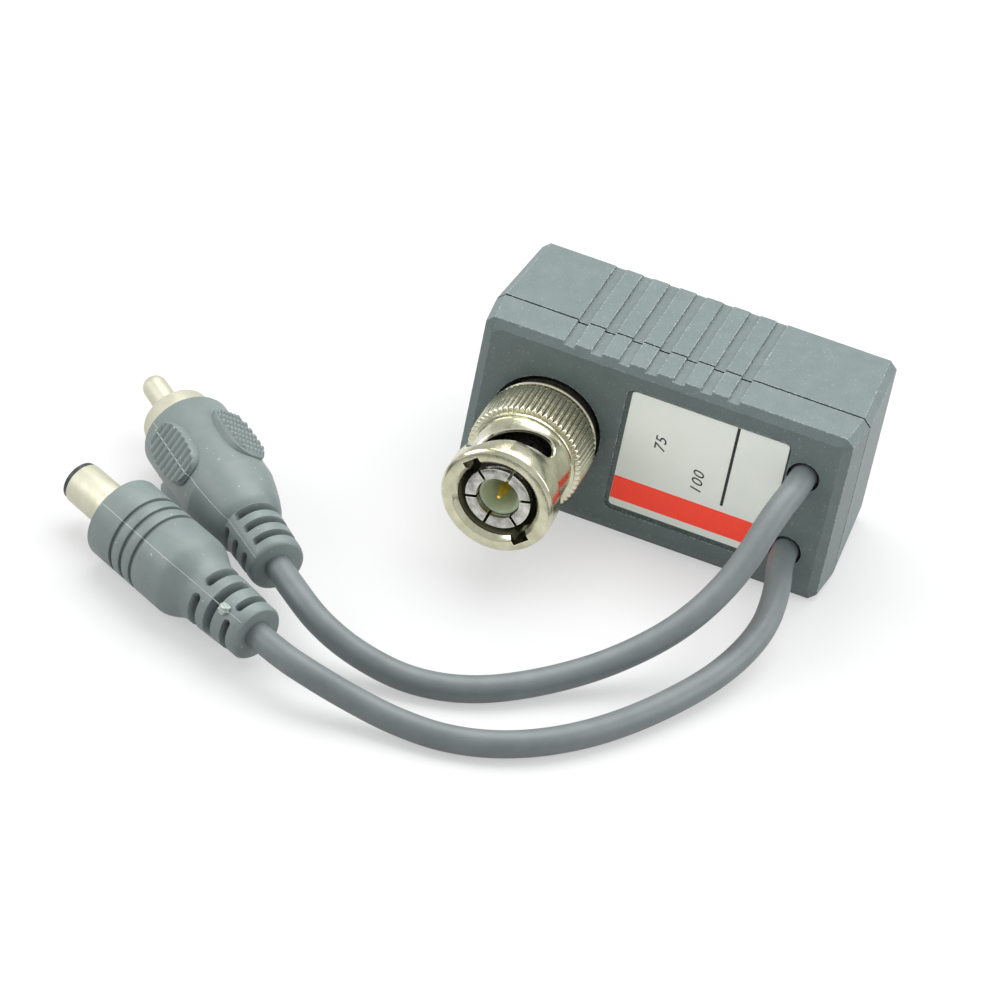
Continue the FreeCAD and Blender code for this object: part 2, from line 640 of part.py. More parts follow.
def slot_block(first, second, inner, outer):
    """One short stretch of the slot, between two places given as angle and height. It leans
    along the slot and is long enough to meet its neighbours out at the band."""
    middle = math.radians(first[0] + second[0]) / 2
    turn = math.radians(first[0] - second[0])
    lean = math.degrees(math.atan2(first[1] - second[1], number(size("sleeve_neck_r")) * turn))
    long = outer * (turn * 1.08)
    block = doc.addObject("Part::Box", "SlotBlock")
    bind(block, "Length", outer - inner)
    bind(block, "Width", long)
    bind(block, "Height", size("slot_width"))
    rotation = (App.Rotation(Vector(0, 0, 1), math.degrees(middle))
                * App.Rotation(Vector(1, 0, 0), lean))
    centre = Vector(number(inner) * math.cos(middle), number(inner) * math.sin(middle),
                    (first[1] + second[1]) / 2)
    corner = Vector(0, -number(long) / 2, -number(size("slot_width")) / 2)
    block.Placement = App.Placement(centre + rotation.multVec(corner), rotation)
    return block


# The wave spring is a flat wire bent into waves round the neck.
def make_wave_spring():
    inner = number(size("neck_r") + size("sleeve_play"))
    outer = number(size("bore_r") - size("sleeve_play") * 3)
    low = number(size("inner_flange_to") + size("thrust_thick"))
    high = number(size("neck_reach"))
    wire = number(size("spring_wire"))
    middle = (low + high - wire) / 2
    swing = (high - low - wire) / 2 * 0.98
    waves = SIZES["spring_waves"]

    def edge(radius, lift):
        points = []
        steps = waves * 8
        for index in range(steps):
            turn = 2 * math.pi * index / steps
            points.append(Vector(radius * math.cos(turn), radius * math.sin(turn),
                                 middle + lift + swing * math.cos(waves * turn)))
        curve = Part.BSplineCurve()
        curve.interpolate(points, PeriodicFlag=True)
        return curve.toShape()

    corners = [edge(inner, 0), edge(outer, 0), edge(outer, wire), edge(inner, wire)]
    faces = []
    for index, start in enumerate(corners):
        faces.append(Part.makeRuledSurface(start, corners[(index + 1) % 4]))
    solid = Part.makeSolid(Part.makeShell(faces))
    if solid.Volume < 0:
        solid.reverse()
    spring = doc.addObject("Part::Feature", "WaveSpring")
    spring.Shape = solid
    return keep("wave_spring", on_plug_axis(spring, ZERO))


# Modular jack: a moulded block whose socket opens through the back of the housing.
def make_jack():
    body = doc.addObject("PartDesign::Body", "Jack")
    width = size("jack_width")
    height = size("jack_height")
    start = board_back
    left = size("jack_x") - width / 2
    low = size("jack_z") - height / 2
    block = outline(body, "Block", "XZ_Plane", rectangle(left, low, width, height), -start)
    pad(body, block, size("box_depth") - start, reverse=True, name="BlockPad")
    floor = start + size("socket_back")
    socket_left = size("jack_x") - size("socket_width") / 2
    socket_low = low + size("socket_low")
    socket_top = socket_low + size("socket_height")
    steps = [("Socket", size("socket_width"), socket_low, size("socket_height")),
             ("Latch", size("latch_width"), socket_top - 0.01, size("latch_height")),
             ("LatchTip", size("latch_tip_width"), socket_top + size("latch_height") - 0.02,
              size("latch_tip_height"))]
    for name, across, from_z, tall in steps:
        sketch = outline(body, name, "XZ_Plane",
                         rectangle(size("jack_x") - across / 2, from_z, across, tall), -floor)
        body.Tip = pocket(body, sketch, size("box_depth") - floor + 1, name=name + "Cut")
    # Contact lanes in the socket's floor.
    lanes = body.newObject("Sketcher::SketchObject", "Lanes")
    lanes.AttachmentSupport = [(plane(body, "XZ_Plane"), "")]
    lanes.MapMode = "FlatFace"
    bind(lanes, "AttachmentOffset.Base.z", -start)
    for index in range(8):
        play = size("lane_play")
        x = contact_left(index) - play
        add_loop(lanes, rectangle(x, socket_low - size("contact_drop") - play * 2,
                                  size("contact_width") + play * 2,
                                  size("contact_drop") + play * 2 + 0.01))
    body.Tip = pocket(body, lanes, size("box_depth") - start - size("lane_front"), name="LaneCut")
    return keep("jack_housing", seat_in_housing(body))


def contact_left(index):
    half = (size("contact_count") - 1) * size("contact_pitch") / 2
    return size("jack_x") - half + size("contact_pitch") * index - size("contact_width") / 2


def make_contacts():
    """Eight spring wires. Each lies in its lane, turns back near the mouth and leans in."""
    thick = size("contact_thick")
    start = board_back
    lane = size("jack_z") - size("jack_height") / 2 + size("socket_low") - size("contact_drop")
    bend = size("box_depth") - size("contact_inset")
    tip = bend - size("contact_lean")
    lift = lane + size("contact_lift")
    points = [(start, lane), (bend, lane), (bend + thick, lane + size("contact_nose")), (tip, lift),
              (tip, lift - thick * 1.2), (bend - thick * 3, lane + thick), (start, lane + thick)]
    pieces = []
    for index in range(8):
        body = doc.addObject("PartDesign::Body", "Contact")
        sketch = outline(body, "Strip", "YZ_Plane", points, contact_left(index))
        body.Tip = pad(body, sketch, size("contact_width"), name="StripPad")
        pieces.append(body)
    group = doc.addObject("Part::Compound", "Contacts")
    group.Links = pieces
    return keep("jack_contacts", seat_in_housing(group))


# Balun transformer: a ferrite ring round the centre pin's tail, with two windings.
def make_transformer():
    base = board_back + size("winding_thick") + size("ring_play")
    core = ring("Core", size("core_inner_r"), size("core_outer_r"), size("core_thick"))
    keep("balun_core", on_plug_axis(core, -(base + size("core_thick"))))
    thick = size("winding_thick")
    turns = []
    for side in (0, 180):
        for index in range(SIZES["winding_turns"]):
            loop = doc.addObject("Part::Box", "WireOuter")
            span = size("core_outer_r") - size("core_inner_r")
            bind(loop, "Length", span + thick * 2)
            bind(loop, "Width", thick * 2)
            bind(loop, "Height", size("core_thick") + thick * 2)
            angle = side + (index - 2) * SIZES["winding_angle"]
            turn_out(loop, angle, size("core_inner_r") - thick, thick, -thick)
            turns.append(loop)
    wires = doc.addObject("Part::MultiFuse", "WireLoops")
    wires.Shapes = turns
    winding = doc.addObject("Part::Cut", "Windings")
    winding.Base = wires
    tool = ring("CoreSpace", size("core_inner_r"), size("core_outer_r"), size("core_thick"))
    winding.Tool = tool
    return keep("balun_windings", on_plug_axis(winding, -(base + size("core_thick"))))


def chips(label, places, thick):
    pieces = []
    for x, z in places:
        chip = doc.addObject("Part::Box", "Chip")
        bind(chip, "Length", size("chip_width"))
        bind(chip, "Width", thick)
        bind(chip, "Height", size("chip_length"))
        bind(chip, "Placement.Base.x", x)
        bind(chip, "Placement.Base.y", board_back)
        bind(chip, "Placement.Base.z", z)
        pieces.append(chip)
    group = doc.addObject("Part::Compound", "Chips")
    group.Links = pieces
    return keep(label, seat_in_housing(group))


def make_chips():
    jack_end = size("jack_x") + size("jack_width") / 2
    board_end = size("box_length") - size("wall") - size("end_taper") - size("board_play")
    middle = (jack_end + board_end) / 2
    half_gap = size("chip_gap") / 2
    chips("chip_resistors", [(middle - half_gap - size("chip_width"), size("jack_z")),
                             (middle + half_gap, size("jack_z"))], size("chip_thick"))
    left = size("jack_x") - size("jack_width") / 2 - size("capacitor_inset")
    chips("chip_capacitors", [(left, size("jack_z") + size("capacitor_rise")),
                              (left, size("jack_z") - size("capacitor_drop"))],
          size("capacitor_thick"))


# Each lead ends behind the face in a moulded stopper, and two wires go on to the board.
def make_lead_stopper(name, height):
    stopper = ring(name + "Stopper", size("wire_spread") * 0.2, size("anchor_r"), size("anchor_length"))
    stopper.Placement = App.Placement(Vector(0, 0, 0), App.Rotation(Vector(1, 0, 0), 90))
    bind(stopper, "Placement.Base.x", LEFT + lead_place)
    bind(stopper, "Placement.Base.y", label_face_y + size("wall") + size("anchor_length"))
    bind(stopper, "Placement.Base.z", height)
    keep(name + "_lead_stopper", stopper)
    pieces = []
    start = size("wall") + size("anchor_length")
    for sign in (-1, 1):
        wire = doc.addObject("Part::Cylinder", "Wire")
        bind(wire, "Radius", size("wire_r"))
        bind(wire, "Height", size("board_depth") - start)
        wire.Placement = App.Placement(Vector(0, 0, 0), App.Rotation(Vector(1, 0, 0), 90))
        bind(wire, "Placement.Base.x", lead_place + size("wire_spread") * sign)
        bind(wire, "Placement.Base.y", size("board_depth"))
        bind(wire, "Placement.Base.z", height)
        pieces.append(wire)
    group = doc.addObject("Part::Compound", "Wires")
    group.Links = pieces
    keep(name + "_wires", seat_in_housing(group))


# Lead plugs. Each is drawn along its own Z axis, from the front of the moulded body to the lead.
def lay_plug(item, prefix, along=ZERO, spin=ZERO):
    heading = number(size(prefix + "_heading"))
    turn = 270 - number(size(prefix + "_turn")) + number(spin)
    rotation = (App.Rotation(Vector(0, 0, 1), heading) * App.Rotation(Vector(0, 1, 0), 90)
                * App.Rotation(Vector(0, 0, 1), turn))
    start = plug_point(prefix, number(along))
    item.Placement = App.Placement(start, rotation)
    return item


def plug_point(prefix, along):
    heading = math.radians(number(size(prefix + "_heading")))
    height = size(prefix + "_r") + size("plug_lift")
    if prefix == "phono":
        height = height + size("grip_base") + size("grip_ridge")
    return Vector(number(size(prefix + "_x")) + along * math.cos(heading),
                  number(size(prefix + "_y")) + along * math.sin(heading),
                  number(height))


def relief_slots(name, prefix, quarter_turns):
    """Cutters for the strain relief: half rings that leave a web on each side."""
    pieces = []
    width = size(prefix + "_slot_width")
    reach = size(prefix + "_relief_r") * 2
    for index in range(SIZES["relief_slots"]):
        start = size(prefix + "_slot_first") + size(prefix + "_slot_pitch") * index
        disc = ring(name + "Slot", size("relief_core_r"), reach, width)
        bind(disc, "Placement.Base.z", start)
        web = doc.addObject("Part::Box", name + "Web")
        bind(web, "Length", reach * 2)
        bind(web, "Width", size("relief_web"))
        bind(web, "Height", width)
        if quarter_turns[index]:
            web.Placement = App.Placement(Vector(0, 0, 0), App.Rotation(Vector(0, 0, 1), 90))
            bind(web, "Placement.Base.x", size("relief_web") / 2)
            bind(web, "Placement.Base.y", -reach)
        else:
            bind(web, "Placement.Base.x", -reach)
            bind(web, "Placement.Base.y", -(size("relief_web") / 2))
        bind(web, "Placement.Base.z", start)
        slot = doc.addObject("Part::Cut", name + "SlotHalves")
        slot.Base = disc
        slot.Tool = web
        pieces.append(slot)
    return pieces


def make_phono_plug():
    radius = size("phono_r")
    edge = 0.35
    length = size("phono_length")
    shoulder = size("phono_barrel")
    relief = size("phono_relief_from")
    relief_r = size("phono_relief_r")
    bore = size("phono_shell_r")
    deep = size("phono_shell_deep")
    profile = [(size("phono_pin_r"), deep + 3), (size("phono_pin_r"), deep), (bore, deep), (bore, ZERO),
               (radius - edge, ZERO), (radius, Size(edge, str(edge))), (radius, shoulder - 0.8),
               (radius - 0.25, shoulder + 0.3), (relief_r + 0.55, relief - 0.9),
               (relief_r, relief + 0.4), (size("phono_relief_end_r"), length - 0.25),
               (size("phono_relief_end_r") - 0.25, length), (ZERO, length), (ZERO, deep + 3)]
    core = turned("PhonoCore", profile)
    comb = grip_comb()
    ovals = grip_ovals()
    pads = doc.addObject("Part::Common", "Grips")
    pads.Base = comb
    pads.Tool = ovals
    whole = doc.addObject("Part::Fuse", "PhonoWhole")
    whole.Base = core
    whole.Tool = pads
    cutters = doc.addObject("Part::MultiFuse", "PhonoCutters")
    cutters.Shapes = relief_slots("Phono", "phono", (False, False, False))
    body = doc.addObject("Part::Cut", "PhonoBody")
    body.Base = whole
    body.Tool = cutters
    keep("phono_plug_body", lay_plug(body, "phono"))

    wall = size("phono_shell_wall")
    reach = size("phono_shell_reach")
    shell = ring("PhonoShell", bore - wall, bore, reach + deep)
    # The shell is rolled from strip. Its seam is underneath.
    seam = outline(shell, "Seam", "XY_Plane", rectangle(ZERO, ZERO, bore + 1, size("seam")))
    shell.Tip = pocket(shell, seam, reach + deep + 1, reverse=True, name="SeamCut")
    keep("phono_shell", lay_plug(shell, "phono", -reach, size("phono_turn") + 90))
    disc = ring("PhonoDisc", size("phono_pin_r"), bore - wall - size("ring_play"), size("phono_disc"))
    keep("phono_insulator", lay_plug(disc, "phono", deep - size("phono_disc")))
    pin_reach = size("phono_pin_reach")
    pin_r = size("phono_pin_r")
    pin_length = pin_reach + deep + 3
    pin = turned("PhonoPin", [(ZERO, ZERO), (pin_r * 0.45, ZERO), (pin_r * 0.85, Size(0.45, "0.45")),
                              (pin_r, Size(1.2, "1.2")), (pin_r, pin_length), (ZERO, pin_length)])
    keep("phono_pin", lay_plug(pin, "phono", -pin_reach))


def grip_comb():
    """A sleeve with one ridge per grip rib. The ovals cut the four grip pads out of it."""
    radius = size("phono_r")
    base = radius + size("grip_base")
    crest = base + size("grip_ridge")
    start = size("grip_from")
    length = size("grip_length")
    count = SIZES["grip_ridges"]
    pitch = length / (count + 0.6)
    points = [(radius - 0.6, start), (base, start)]
    for index in range(count):
        low = start + pitch * (index + 0.4)
        high = low + size("grip_ridge_width")
        points += [(base, low), (crest, low + 0.12), (crest, high - 0.12), (base, high)]
    points += [(base, start + length), (radius - 0.6, start + length)]
    return turned("GripComb", points)


def grip_ovals():
    """Four round-ended bars across the plug, two along each cross axis, as one tool."""
    length = size("grip_length")
    width = size("grip_width")
    start = size("grip_from")
    reach = size("phono_r") + 2
    pieces = []
    for quarter in (0, 1):
        bar = doc.addObject("Part::Box", "OvalBar")
        bind(bar, "Length", reach * 2)
        bind(bar, "Width", width)
        bind(bar, "Height", length - width * 0.8)
        turn = App.Rotation(Vector(0, 0, 1), 90 * quarter)
        bar.Placement = App.Placement(Vector(0, 0, 0), turn)
        bind(bar, "Placement.Base.x", width / 2 if quarter else -reach)
        bind(bar, "Placement.Base.y", -reach if quarter else -(width / 2))
        bind(bar, "Placement.Base.z", start + width * 0.4)
        pieces.append(bar)
        for low in (start + width * 0.5, start + length - width * 0.5):
            end = doc.addObject("Part::Cylinder", "OvalEnd")
            bind(end, "Radius", width / 2)
            bind(end, "Height", reach * 2)
            end.Placement = App.Placement(Vector(0, 0, 0),
                                          turn * App.Rotation(Vector(0, 1, 0), 90))
            bind(end, "Placement.Base.x", ZERO if quarter else -reach)
            bind(end, "Placement.Base.y", -reach if quarter else ZERO)
            bind(end, "Placement.Base.z", low)
            pieces.append(end)
    ovals = doc.addObject("Part::MultiFuse", "GripOvals")
    ovals.Shapes = pieces
    return ovals


def make_power_plug():
    radius = size("power_r")
    edge = 0.3
    length = size("power_length")
    shoulder = size("power_barrel")
    relief = size("power_relief_from")
    relief_r = size("power_relief_r")
    bore = size("barrel_r")
    deep = size("barrel_deep")
    wide = size("power_groove_width")
    root = radius - size("power_groove_deep")
    profile = [(ZERO, deep), (bore, deep), (bore, ZERO), (radius - edge, ZERO),
               (radius, Size(edge, str(edge)))]
    for index in range(3):
        low = size("power_groove_first") + size("power_groove_pitch") * index
        profile += [(radius, low), (root, low + wide * 0.35), (root, low + wide * 0.75),
                    (radius, low + wide)]
    profile += [(radius, shoulder - 0.6), (radius - 0.3, shoulder + 0.4),
                (relief_r + 0.35, relief - 0.7), (relief_r, relief + 0.3),
                (relief_r - 0.1, length - size("relief_collar") - 0.2),
                (size("power_relief_end_r"), length - size("relief_collar")),
                (size("power_relief_end_r"), length - 0.2),
                (size("power_relief_end_r") - 0.2, length), (ZERO, length)]
    core = turned("PowerCore", profile)
    cutters = doc.addObject("Part::MultiFuse", "PowerCutters")
    cutters.Shapes = relief_slots("Power", "power", (False, True, False))
    body = doc.addObject("Part::Cut", "PowerBody")
    body.Base = core
    body.Tool = cutters
    keep("power_plug_body", lay_plug(body, "power"))

    reach = size("barrel_reach")
    inner = bore - size("barrel_wall")
    barrel = ring("Barrel", inner, bore, reach + deep)
    keep("power_barrel", lay_plug(barrel, "power", -reach))
    tip = size("tip_ring")
    contact_r = inner - size("contact_wall")
    sleeve_length = tip + reach + deep
    sleeve = turned("BarrelInsulator", [(contact_r, ZERO), (size("tip_ring_r"), ZERO),
                                        (size("tip_ring_r"), tip), (inner, tip),
                                        (inner, sleeve_length), (contact_r, sleeve_length)])
    keep("power_insulator", lay_plug(sleeve, "power", -(reach + tip)))
    contact_reach = reach + tip - 0.6
    contact = ring("BarrelContact", size("contact_bore_r"), contact_r, contact_reach + deep)
    keep("power_contact", lay_plug(contact, "power", -contact_reach))


# Leads. The routes are lists of points in the part's frame, chosen by hand after the photograph.
AUDIO_ROUTE = [(18.1, -9.0, 16.2), (16.8, -16.55, 11.4),
               (13.2, -24.35, 7.0), (7.2, -31.35, 3.6), (0.5, -37.85, 1.95), (-6.5, -43.95, 1.75),
               (-13.7, -46.35, 1.8), (-20.5, -46.85, 3.3), (-26.0, -46.35, 5.4)]
POWER_ROUTE = [(20.8, -9.0, 5.4), (21.4, -16.15, 3.8),
               (19.0, -25.45, 2.4), (13.9, -35.95, 1.8), (8.3, -44.55, 1.7), (1.5, -51.15, 1.8),
               (-5.8, -54.25, 1.7), (-12.7, -54.85, 2.1), (-19.0, -55.05, 3.4),
               (-23.6, -55.55, 5.0)]


def route_end(prefix, run):
    """The last two points: straight into the plug's end face."""
    length = number(size(prefix + "_length"))
    before = plug_point(prefix, length + run)
    face = plug_point(prefix, length)
    return [before, face]


def smooth_path(points):
    """Straight runs joined by tangent arcs as large as the two runs allow."""
    edges = []
    start = points[0]
    radii = []
    for before, corner, after in zip(points, points[1:], points[2:]):
        run_in = corner - before
        run_out = after - corner
        turn = run_in.getAngle(run_out)
        cut = 0.45 * min(run_in.Length, run_out.Length)
        radii.append(cut / math.tan(turn / 2))
        way_in = Vector(run_in).normalize()
        way_out = Vector(run_out).normalize()
        arc_start = corner - way_in * cut
        arc_end = corner + way_out * cut
        bisector = (way_out - way_in).normalize()
        sagitta = radii[-1] * (1 / math.cos(turn / 2) - 1)
        arc_middle = corner + bisector * sagitta
        edges.append(Part.LineSegment(start, arc_start).toShape())
        edges.append(Part.Arc(arc_start, arc_middle, arc_end).toShape())
        start = arc_end
    edges.append(Part.LineSegment(start, points[-1]).toShape())
    return Part.Wire(edges), radii


def make_lead(label, height, route, prefix, run):
    mouth = Vector(number(LEFT + lead_place), number(label_face_y), number(height))
    points = [mouth + Vector(0, number(size("wall")), 0), mouth - Vector(0, 2.2, 0)]
    points += [Vector(*place) for place in route] + route_end(prefix, run)
    path, radii = smooth_path(points)
    first = (points[1] - points[0]).normalize()
    radius = number(size("lead_r"))
    section = Part.Wire(Part.makeCircle(radius, points[0], first))
    tube = path.makePipeShell([section], True, True)
    print(label, "length %.1f" % path.Length, "radii", ["%.1f" % r for r in radii])
    expected = math.pi * radius ** 2 * path.Length
    print(label, "volume %.1f against %.1f" % (tube.Volume, expected))
    print(label, "lowest %.2f" % tube.BoundBox.ZMin)
    lead = doc.addObject("Part::Feature", "Lead")
    lead.Shape = tube
    return keep(label, lead)


make_front_shell()
make_rear_shell()
make_label()
make_board()
make_plug_shell()
make_insulator()
make_centre_pin()
make_small_rings()
make_shank_nut()
make_sleeve()
make_wave_spring()
make_jack()
make_contacts()
make_transformer()
make_chips()
make_lead_stopper("audio", audio_height)
make_lead_stopper("power", size("power_lead_z"))
make_phono_plug()
make_power_plug()
make_lead("audio_lead", audio_height, AUDIO_ROUTE, "phono", 5.0)
make_lead("power_lead", size("power_lead_z"), POWER_ROUTE, "power", 4.4)
doc.recompute()

for item in doc.Objects:
    wrong = [state for state in item.State if state in ("Invalid", "Error")]
    if wrong:
        raise RuntimeError("%s is %s" % (item.Name, wrong))

os.makedirs("parts", exist_ok=True)
for label, item in NODES.items():
    shape = item.Shape
    if shape.isNull() or not shape.isValid() or not shape.Solids:
        raise RuntimeError("%s has no sound shape" % label)
    shape.exportStep("parts/%s.step" % label)
    box = shape.BoundBox
    print("%-20s solids %d volume %8.1f x %6.2f %6.2f y %6.2f %6.2f z %6.2f %6.2f" % (
        label, len(shape.Solids), shape.Volume, box.XMin, box.XMax, box.YMin, box.YMax,
        box.ZMin, box.ZMax))
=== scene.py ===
import math

import bmesh
import bpy
from mathutils import Matrix, Vector


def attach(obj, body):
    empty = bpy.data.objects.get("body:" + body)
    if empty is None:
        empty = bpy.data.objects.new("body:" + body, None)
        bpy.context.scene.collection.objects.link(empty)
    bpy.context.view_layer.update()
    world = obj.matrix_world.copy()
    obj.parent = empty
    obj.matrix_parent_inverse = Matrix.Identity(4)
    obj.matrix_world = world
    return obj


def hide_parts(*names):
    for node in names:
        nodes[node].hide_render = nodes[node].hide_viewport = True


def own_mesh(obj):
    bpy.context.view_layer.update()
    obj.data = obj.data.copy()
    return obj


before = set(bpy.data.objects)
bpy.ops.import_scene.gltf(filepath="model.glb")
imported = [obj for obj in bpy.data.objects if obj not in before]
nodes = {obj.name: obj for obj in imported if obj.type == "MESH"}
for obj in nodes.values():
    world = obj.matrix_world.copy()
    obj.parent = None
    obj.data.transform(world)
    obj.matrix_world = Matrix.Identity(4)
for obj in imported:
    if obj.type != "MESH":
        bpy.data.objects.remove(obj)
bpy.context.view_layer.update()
scene = bpy.context.scene

# Camera: a long lens from the front and above, held a little tilted, as the photograph was taken.
# Its place, in metres, and its turns, in degrees, were fitted to the housing and the plugs.
camera_place = (0.1131, -0.57625, 0.42021)
camera_heading, camera_down, camera_tilt = 12.824, 35.558, 11.995
lens = bpy.data.cameras.new("long_lens")
lens.sensor_width = 36
lens.lens = 206.2
lens.clip_start = 0.05
camera = bpy.data.objects.new("camera", lens)
scene.collection.objects.link(camera)
camera.matrix_world = (Matrix.Translation(camera_place)
                       @ Matrix.Rotation(math.radians(camera_heading), 4, "Z")
                       @ Matrix.Rotation(math.radians(90 - camera_down), 4, "X")
                       @ Matrix.Rotation(math.radians(camera_tilt), 4, "Z"))
scene.camera = camera
scene.view_settings.view_transform = "Standard"


# Leads: two round cords with an extruded PVC jacket, satin and mid grey. Each leaves its hole in
# the label face, where a moulded stopper holds it, and ends in the end face of its plug.
def linear(code):
    """Turns an sRGB hex colour to linear red, green, blue and alpha."""
    values = [int(code[at:at + 2], 16) / 255 for at in (1, 3, 5)]
    return [v / 12.92 if v <= 0.04045 else ((v + 0.055) / 1.055) ** 2.4 for v in values] + [1.0]


def add_node(material, kind, inputs=None, **settings):
    """Adds a node. An input is a number or colour, or the socket of another node that feeds it."""
    node = material.node_tree.nodes.new(kind)
    for name, value in settings.items():
        setattr(node, name, value)
    for name, value in (inputs or {}).items():
        socket = node.inputs[name]
        if isinstance(value, bpy.types.NodeSocket):
            material.node_tree.links.new(value, socket)
        else:
            socket.default_value = value
    return node


def new_material(name):
    """An empty material, and the object's own places that its patterns are laid out in."""
    material = bpy.data.materials.new(name)
    material.use_nodes = True
    material.node_tree.nodes.clear()
    return material, add_node(material, "ShaderNodeTexCoord").outputs["Object"]


def surface(material, shader):
    """Ends a material with its shader."""
    output = add_node(material, "ShaderNodeOutputMaterial")
    material.node_tree.links.new(shader.outputs[0], output.inputs["Surface"])
    return material


def principled(material, inputs):
    """Ends a material with a Principled shader."""
    return surface(material, add_node(material, "ShaderNodeBsdfPrincipled", inputs))


def noise(material, place, scale, detail, rough=0.5):
    """A soft noise from 0 to 1, at a scale in patches per metre."""
    return add_node(material, "ShaderNodeTexNoise", {
        "Vector": place, "Scale": scale, "Detail": detail, "Roughness": rough}).outputs["Fac"]


def spread(material, value, start, end, low, high):
    """Spreads what a value does between start and end over low to high."""
    return add_node(material, "ShaderNodeMapRange", {
        "Value": value, "From Min": start, "From Max": end, "To Min": low,
        "To Max": high}).outputs[0]


def raised(material, height, strength, distance, below=None):
    """A bump from a height of 0 to 1, as deep as a distance in metres, over another bump where
    one is given."""
    inputs = {"Strength": strength, "Distance": distance, "Height": height}
    if below is not None:
        inputs["Normal"] = below
    return add_node(material, "ShaderNodeBump", inputs).outputs["Normal"]


def mottled(material, place, scale, low, high, detail=3.0):
    """Soft patches between two colours, at a scale in patches per metre."""
    ramp = add_node(material, "ShaderNodeValToRGB", {
        "Fac": noise(material, place, scale, detail, rough=0.6)})
    for element, position, colour in zip(ramp.color_ramp.elements, (0.32, 0.68), (low, high)):
        element.position = position
        element.color = linear(colour)
    return ramp.outputs["Color"]


def extruded_pvc():
    """Plasticised PVC jacket: an even satin grey, with faint drawing marks and handling smudges."""
    material, place = new_material("extruded_pvc_jacket")
    return principled(material, {
        "Base Color": mottled(material, place, 260, "#636A6A", "#6C7373"),
        "Roughness": spread(material, noise(material, place, 700.0, 4.0), 0.0, 1.0, 0.40, 0.52),
        "IOR": 1.52,
        "Normal": raised(material, noise(material, place, 2400.0, 2.0), 0.12, 0.00008)})


lead_pvc = extruded_pvc()
lead_radius = 0.0017


def lead(name, points):
    """A cord whose NURBS control points are given in millimetres."""
    curve = bpy.data.curves.new(name, "CURVE")
    curve.dimensions = "3D"
    spline = curve.splines.new("NURBS")
    spline.points.add(len(points) - 1)
    for point, (x, y, z) in zip(spline.points, points):
        point.co = (x / 1000, y / 1000, z / 1000, 1)
    spline.order_u = 3
    spline.use_endpoint_u = True
    spline.resolution_u = 12
    curve.bevel_depth = lead_radius
    curve.bevel_resolution = 8
    curve.use_fill_caps = True
    curve.materials.append(lead_pvc)
    cord = bpy.data.objects.new(name, curve)
    scene.collection.objects.link(cord)
    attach(cord, "housing")
    return cord


audio_cord = lead("audio_cord", [
    (19.2, 0.05, 17.6), (19.2, -3.75, 17.6), (18.1, -9.0, 16.2), (16.8, -16.55, 11.4),
    (13.2, -24.35, 7.0), (7.2, -31.35, 3.6), (0.5, -37.85, 1.95), (-6.5, -43.95, 1.75),
    (-13.7, -46.35, 1.8), (-20.5, -46.85, 3.3), (-26.0, -46.35, 5.4), (-30.60, -43.51, 6.6),
    (-34.20, -40.04, 6.6)])
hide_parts("audio_lead")

power_cord = lead("power_cord", [
    (19.2, 0.05, 6.2), (19.2, -3.75, 6.2), (20.8, -9.0, 5.4), (21.4, -16.15, 3.8),
    (19.0, -25.45, 2.4), (13.9, -35.95, 1.8), (8.3, -44.55, 1.7), (1.5, -51.15, 1.8),
    (-5.8, -54.25, 1.7), (-12.7, -54.85, 2.1), (-19.0, -55.05, 3.4), (-23.6, -55.55, 5.0),
    (-27.94, -54.65, 5.55), (-31.80, -52.53, 5.55)])
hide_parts("power_lead")


# Floor and light: a white table top under a wide soft box, with a small one on each side and a dim
# room round it. None of it is part of the object.
def table_top():
    """White laminate, which shows white to the camera and to metal, and keeps the shadow."""
    material, _ = new_material("white_table")
    path = add_node(material, "ShaderNodeLightPath")
    seen = add_node(material, "ShaderNodeMath", {0: path.outputs["Is Camera Ray"],
                                                 1: path.outputs["Is Glossy Ray"]},
                    operation="MAXIMUM")
    grey = add_node(material, "ShaderNodeBsdfDiffuse", {"Color": linear("#B4B4B4")})
    white = add_node(material, "ShaderNodeBsdfDiffuse", {"Color": linear("#CFCFCF")})
    glow = add_node(material, "ShaderNodeEmission", {"Color": linear("#FFFFFF"), "Strength": 1.0})
    lit = add_node(material, "ShaderNodeMixShader", {0: 0.47, 1: white.outputs[0],
                                                     2: glow.outputs[0]})
    both = add_node(material, "ShaderNodeMixShader", {0: seen.outputs[0], 1: grey.outputs[0],
                                                      2: lit.outputs[0]})
    return surface(material, both)


disc = bmesh.new()
bmesh.ops.create_circle(disc, cap_ends=True, segments=64, radius=3.0)
table_mesh = bpy.data.meshes.new("table")
disc.to_mesh(table_mesh)
disc.free()
table_mesh.materials.append(table_top())
table = bpy.data.objects.new("table", table_mesh)
table.location.z = -0.0001
scene.collection.objects.link(table)


def soft_box(name, place, aim, width, height, watts):
    """A white rectangular lamp that faces a point."""
    light = bpy.data.lights.new(name, "AREA")
    light.shape = "RECTANGLE"
    light.size = width
    light.size_y = height
    light.energy = watts
    lamp = bpy.data.objects.new(name, light)
    lamp.location = place
    lamp.rotation_euler = (Vector(aim) - Vector(place)).to_track_quat("-Z", "Y").to_euler()
    scene.collection.objects.link(lamp)


soft_box("top_soft_box", (-0.05, 0.28, 0.75), (0, -0.02, 0), 0.9, 0.7, 7.8)
soft_box("left_soft_box", (-0.75, -0.25, 0.45), (-0.01, -0.02, 0.01), 0.5, 0.5, 2.8)
soft_box("right_soft_box", (0.8, 0.25, 0.4), (0.02, 0.0, 0.01), 0.5, 0.5, 3.2)
world = bpy.data.worlds.new("dim_room")
scene.world = world
world.use_nodes = True
room = world.node_tree.nodes["Background"]
room.inputs["Color"].default_value = linear("#F4F6F8")
room.inputs["Strength"].default_value = 0.78


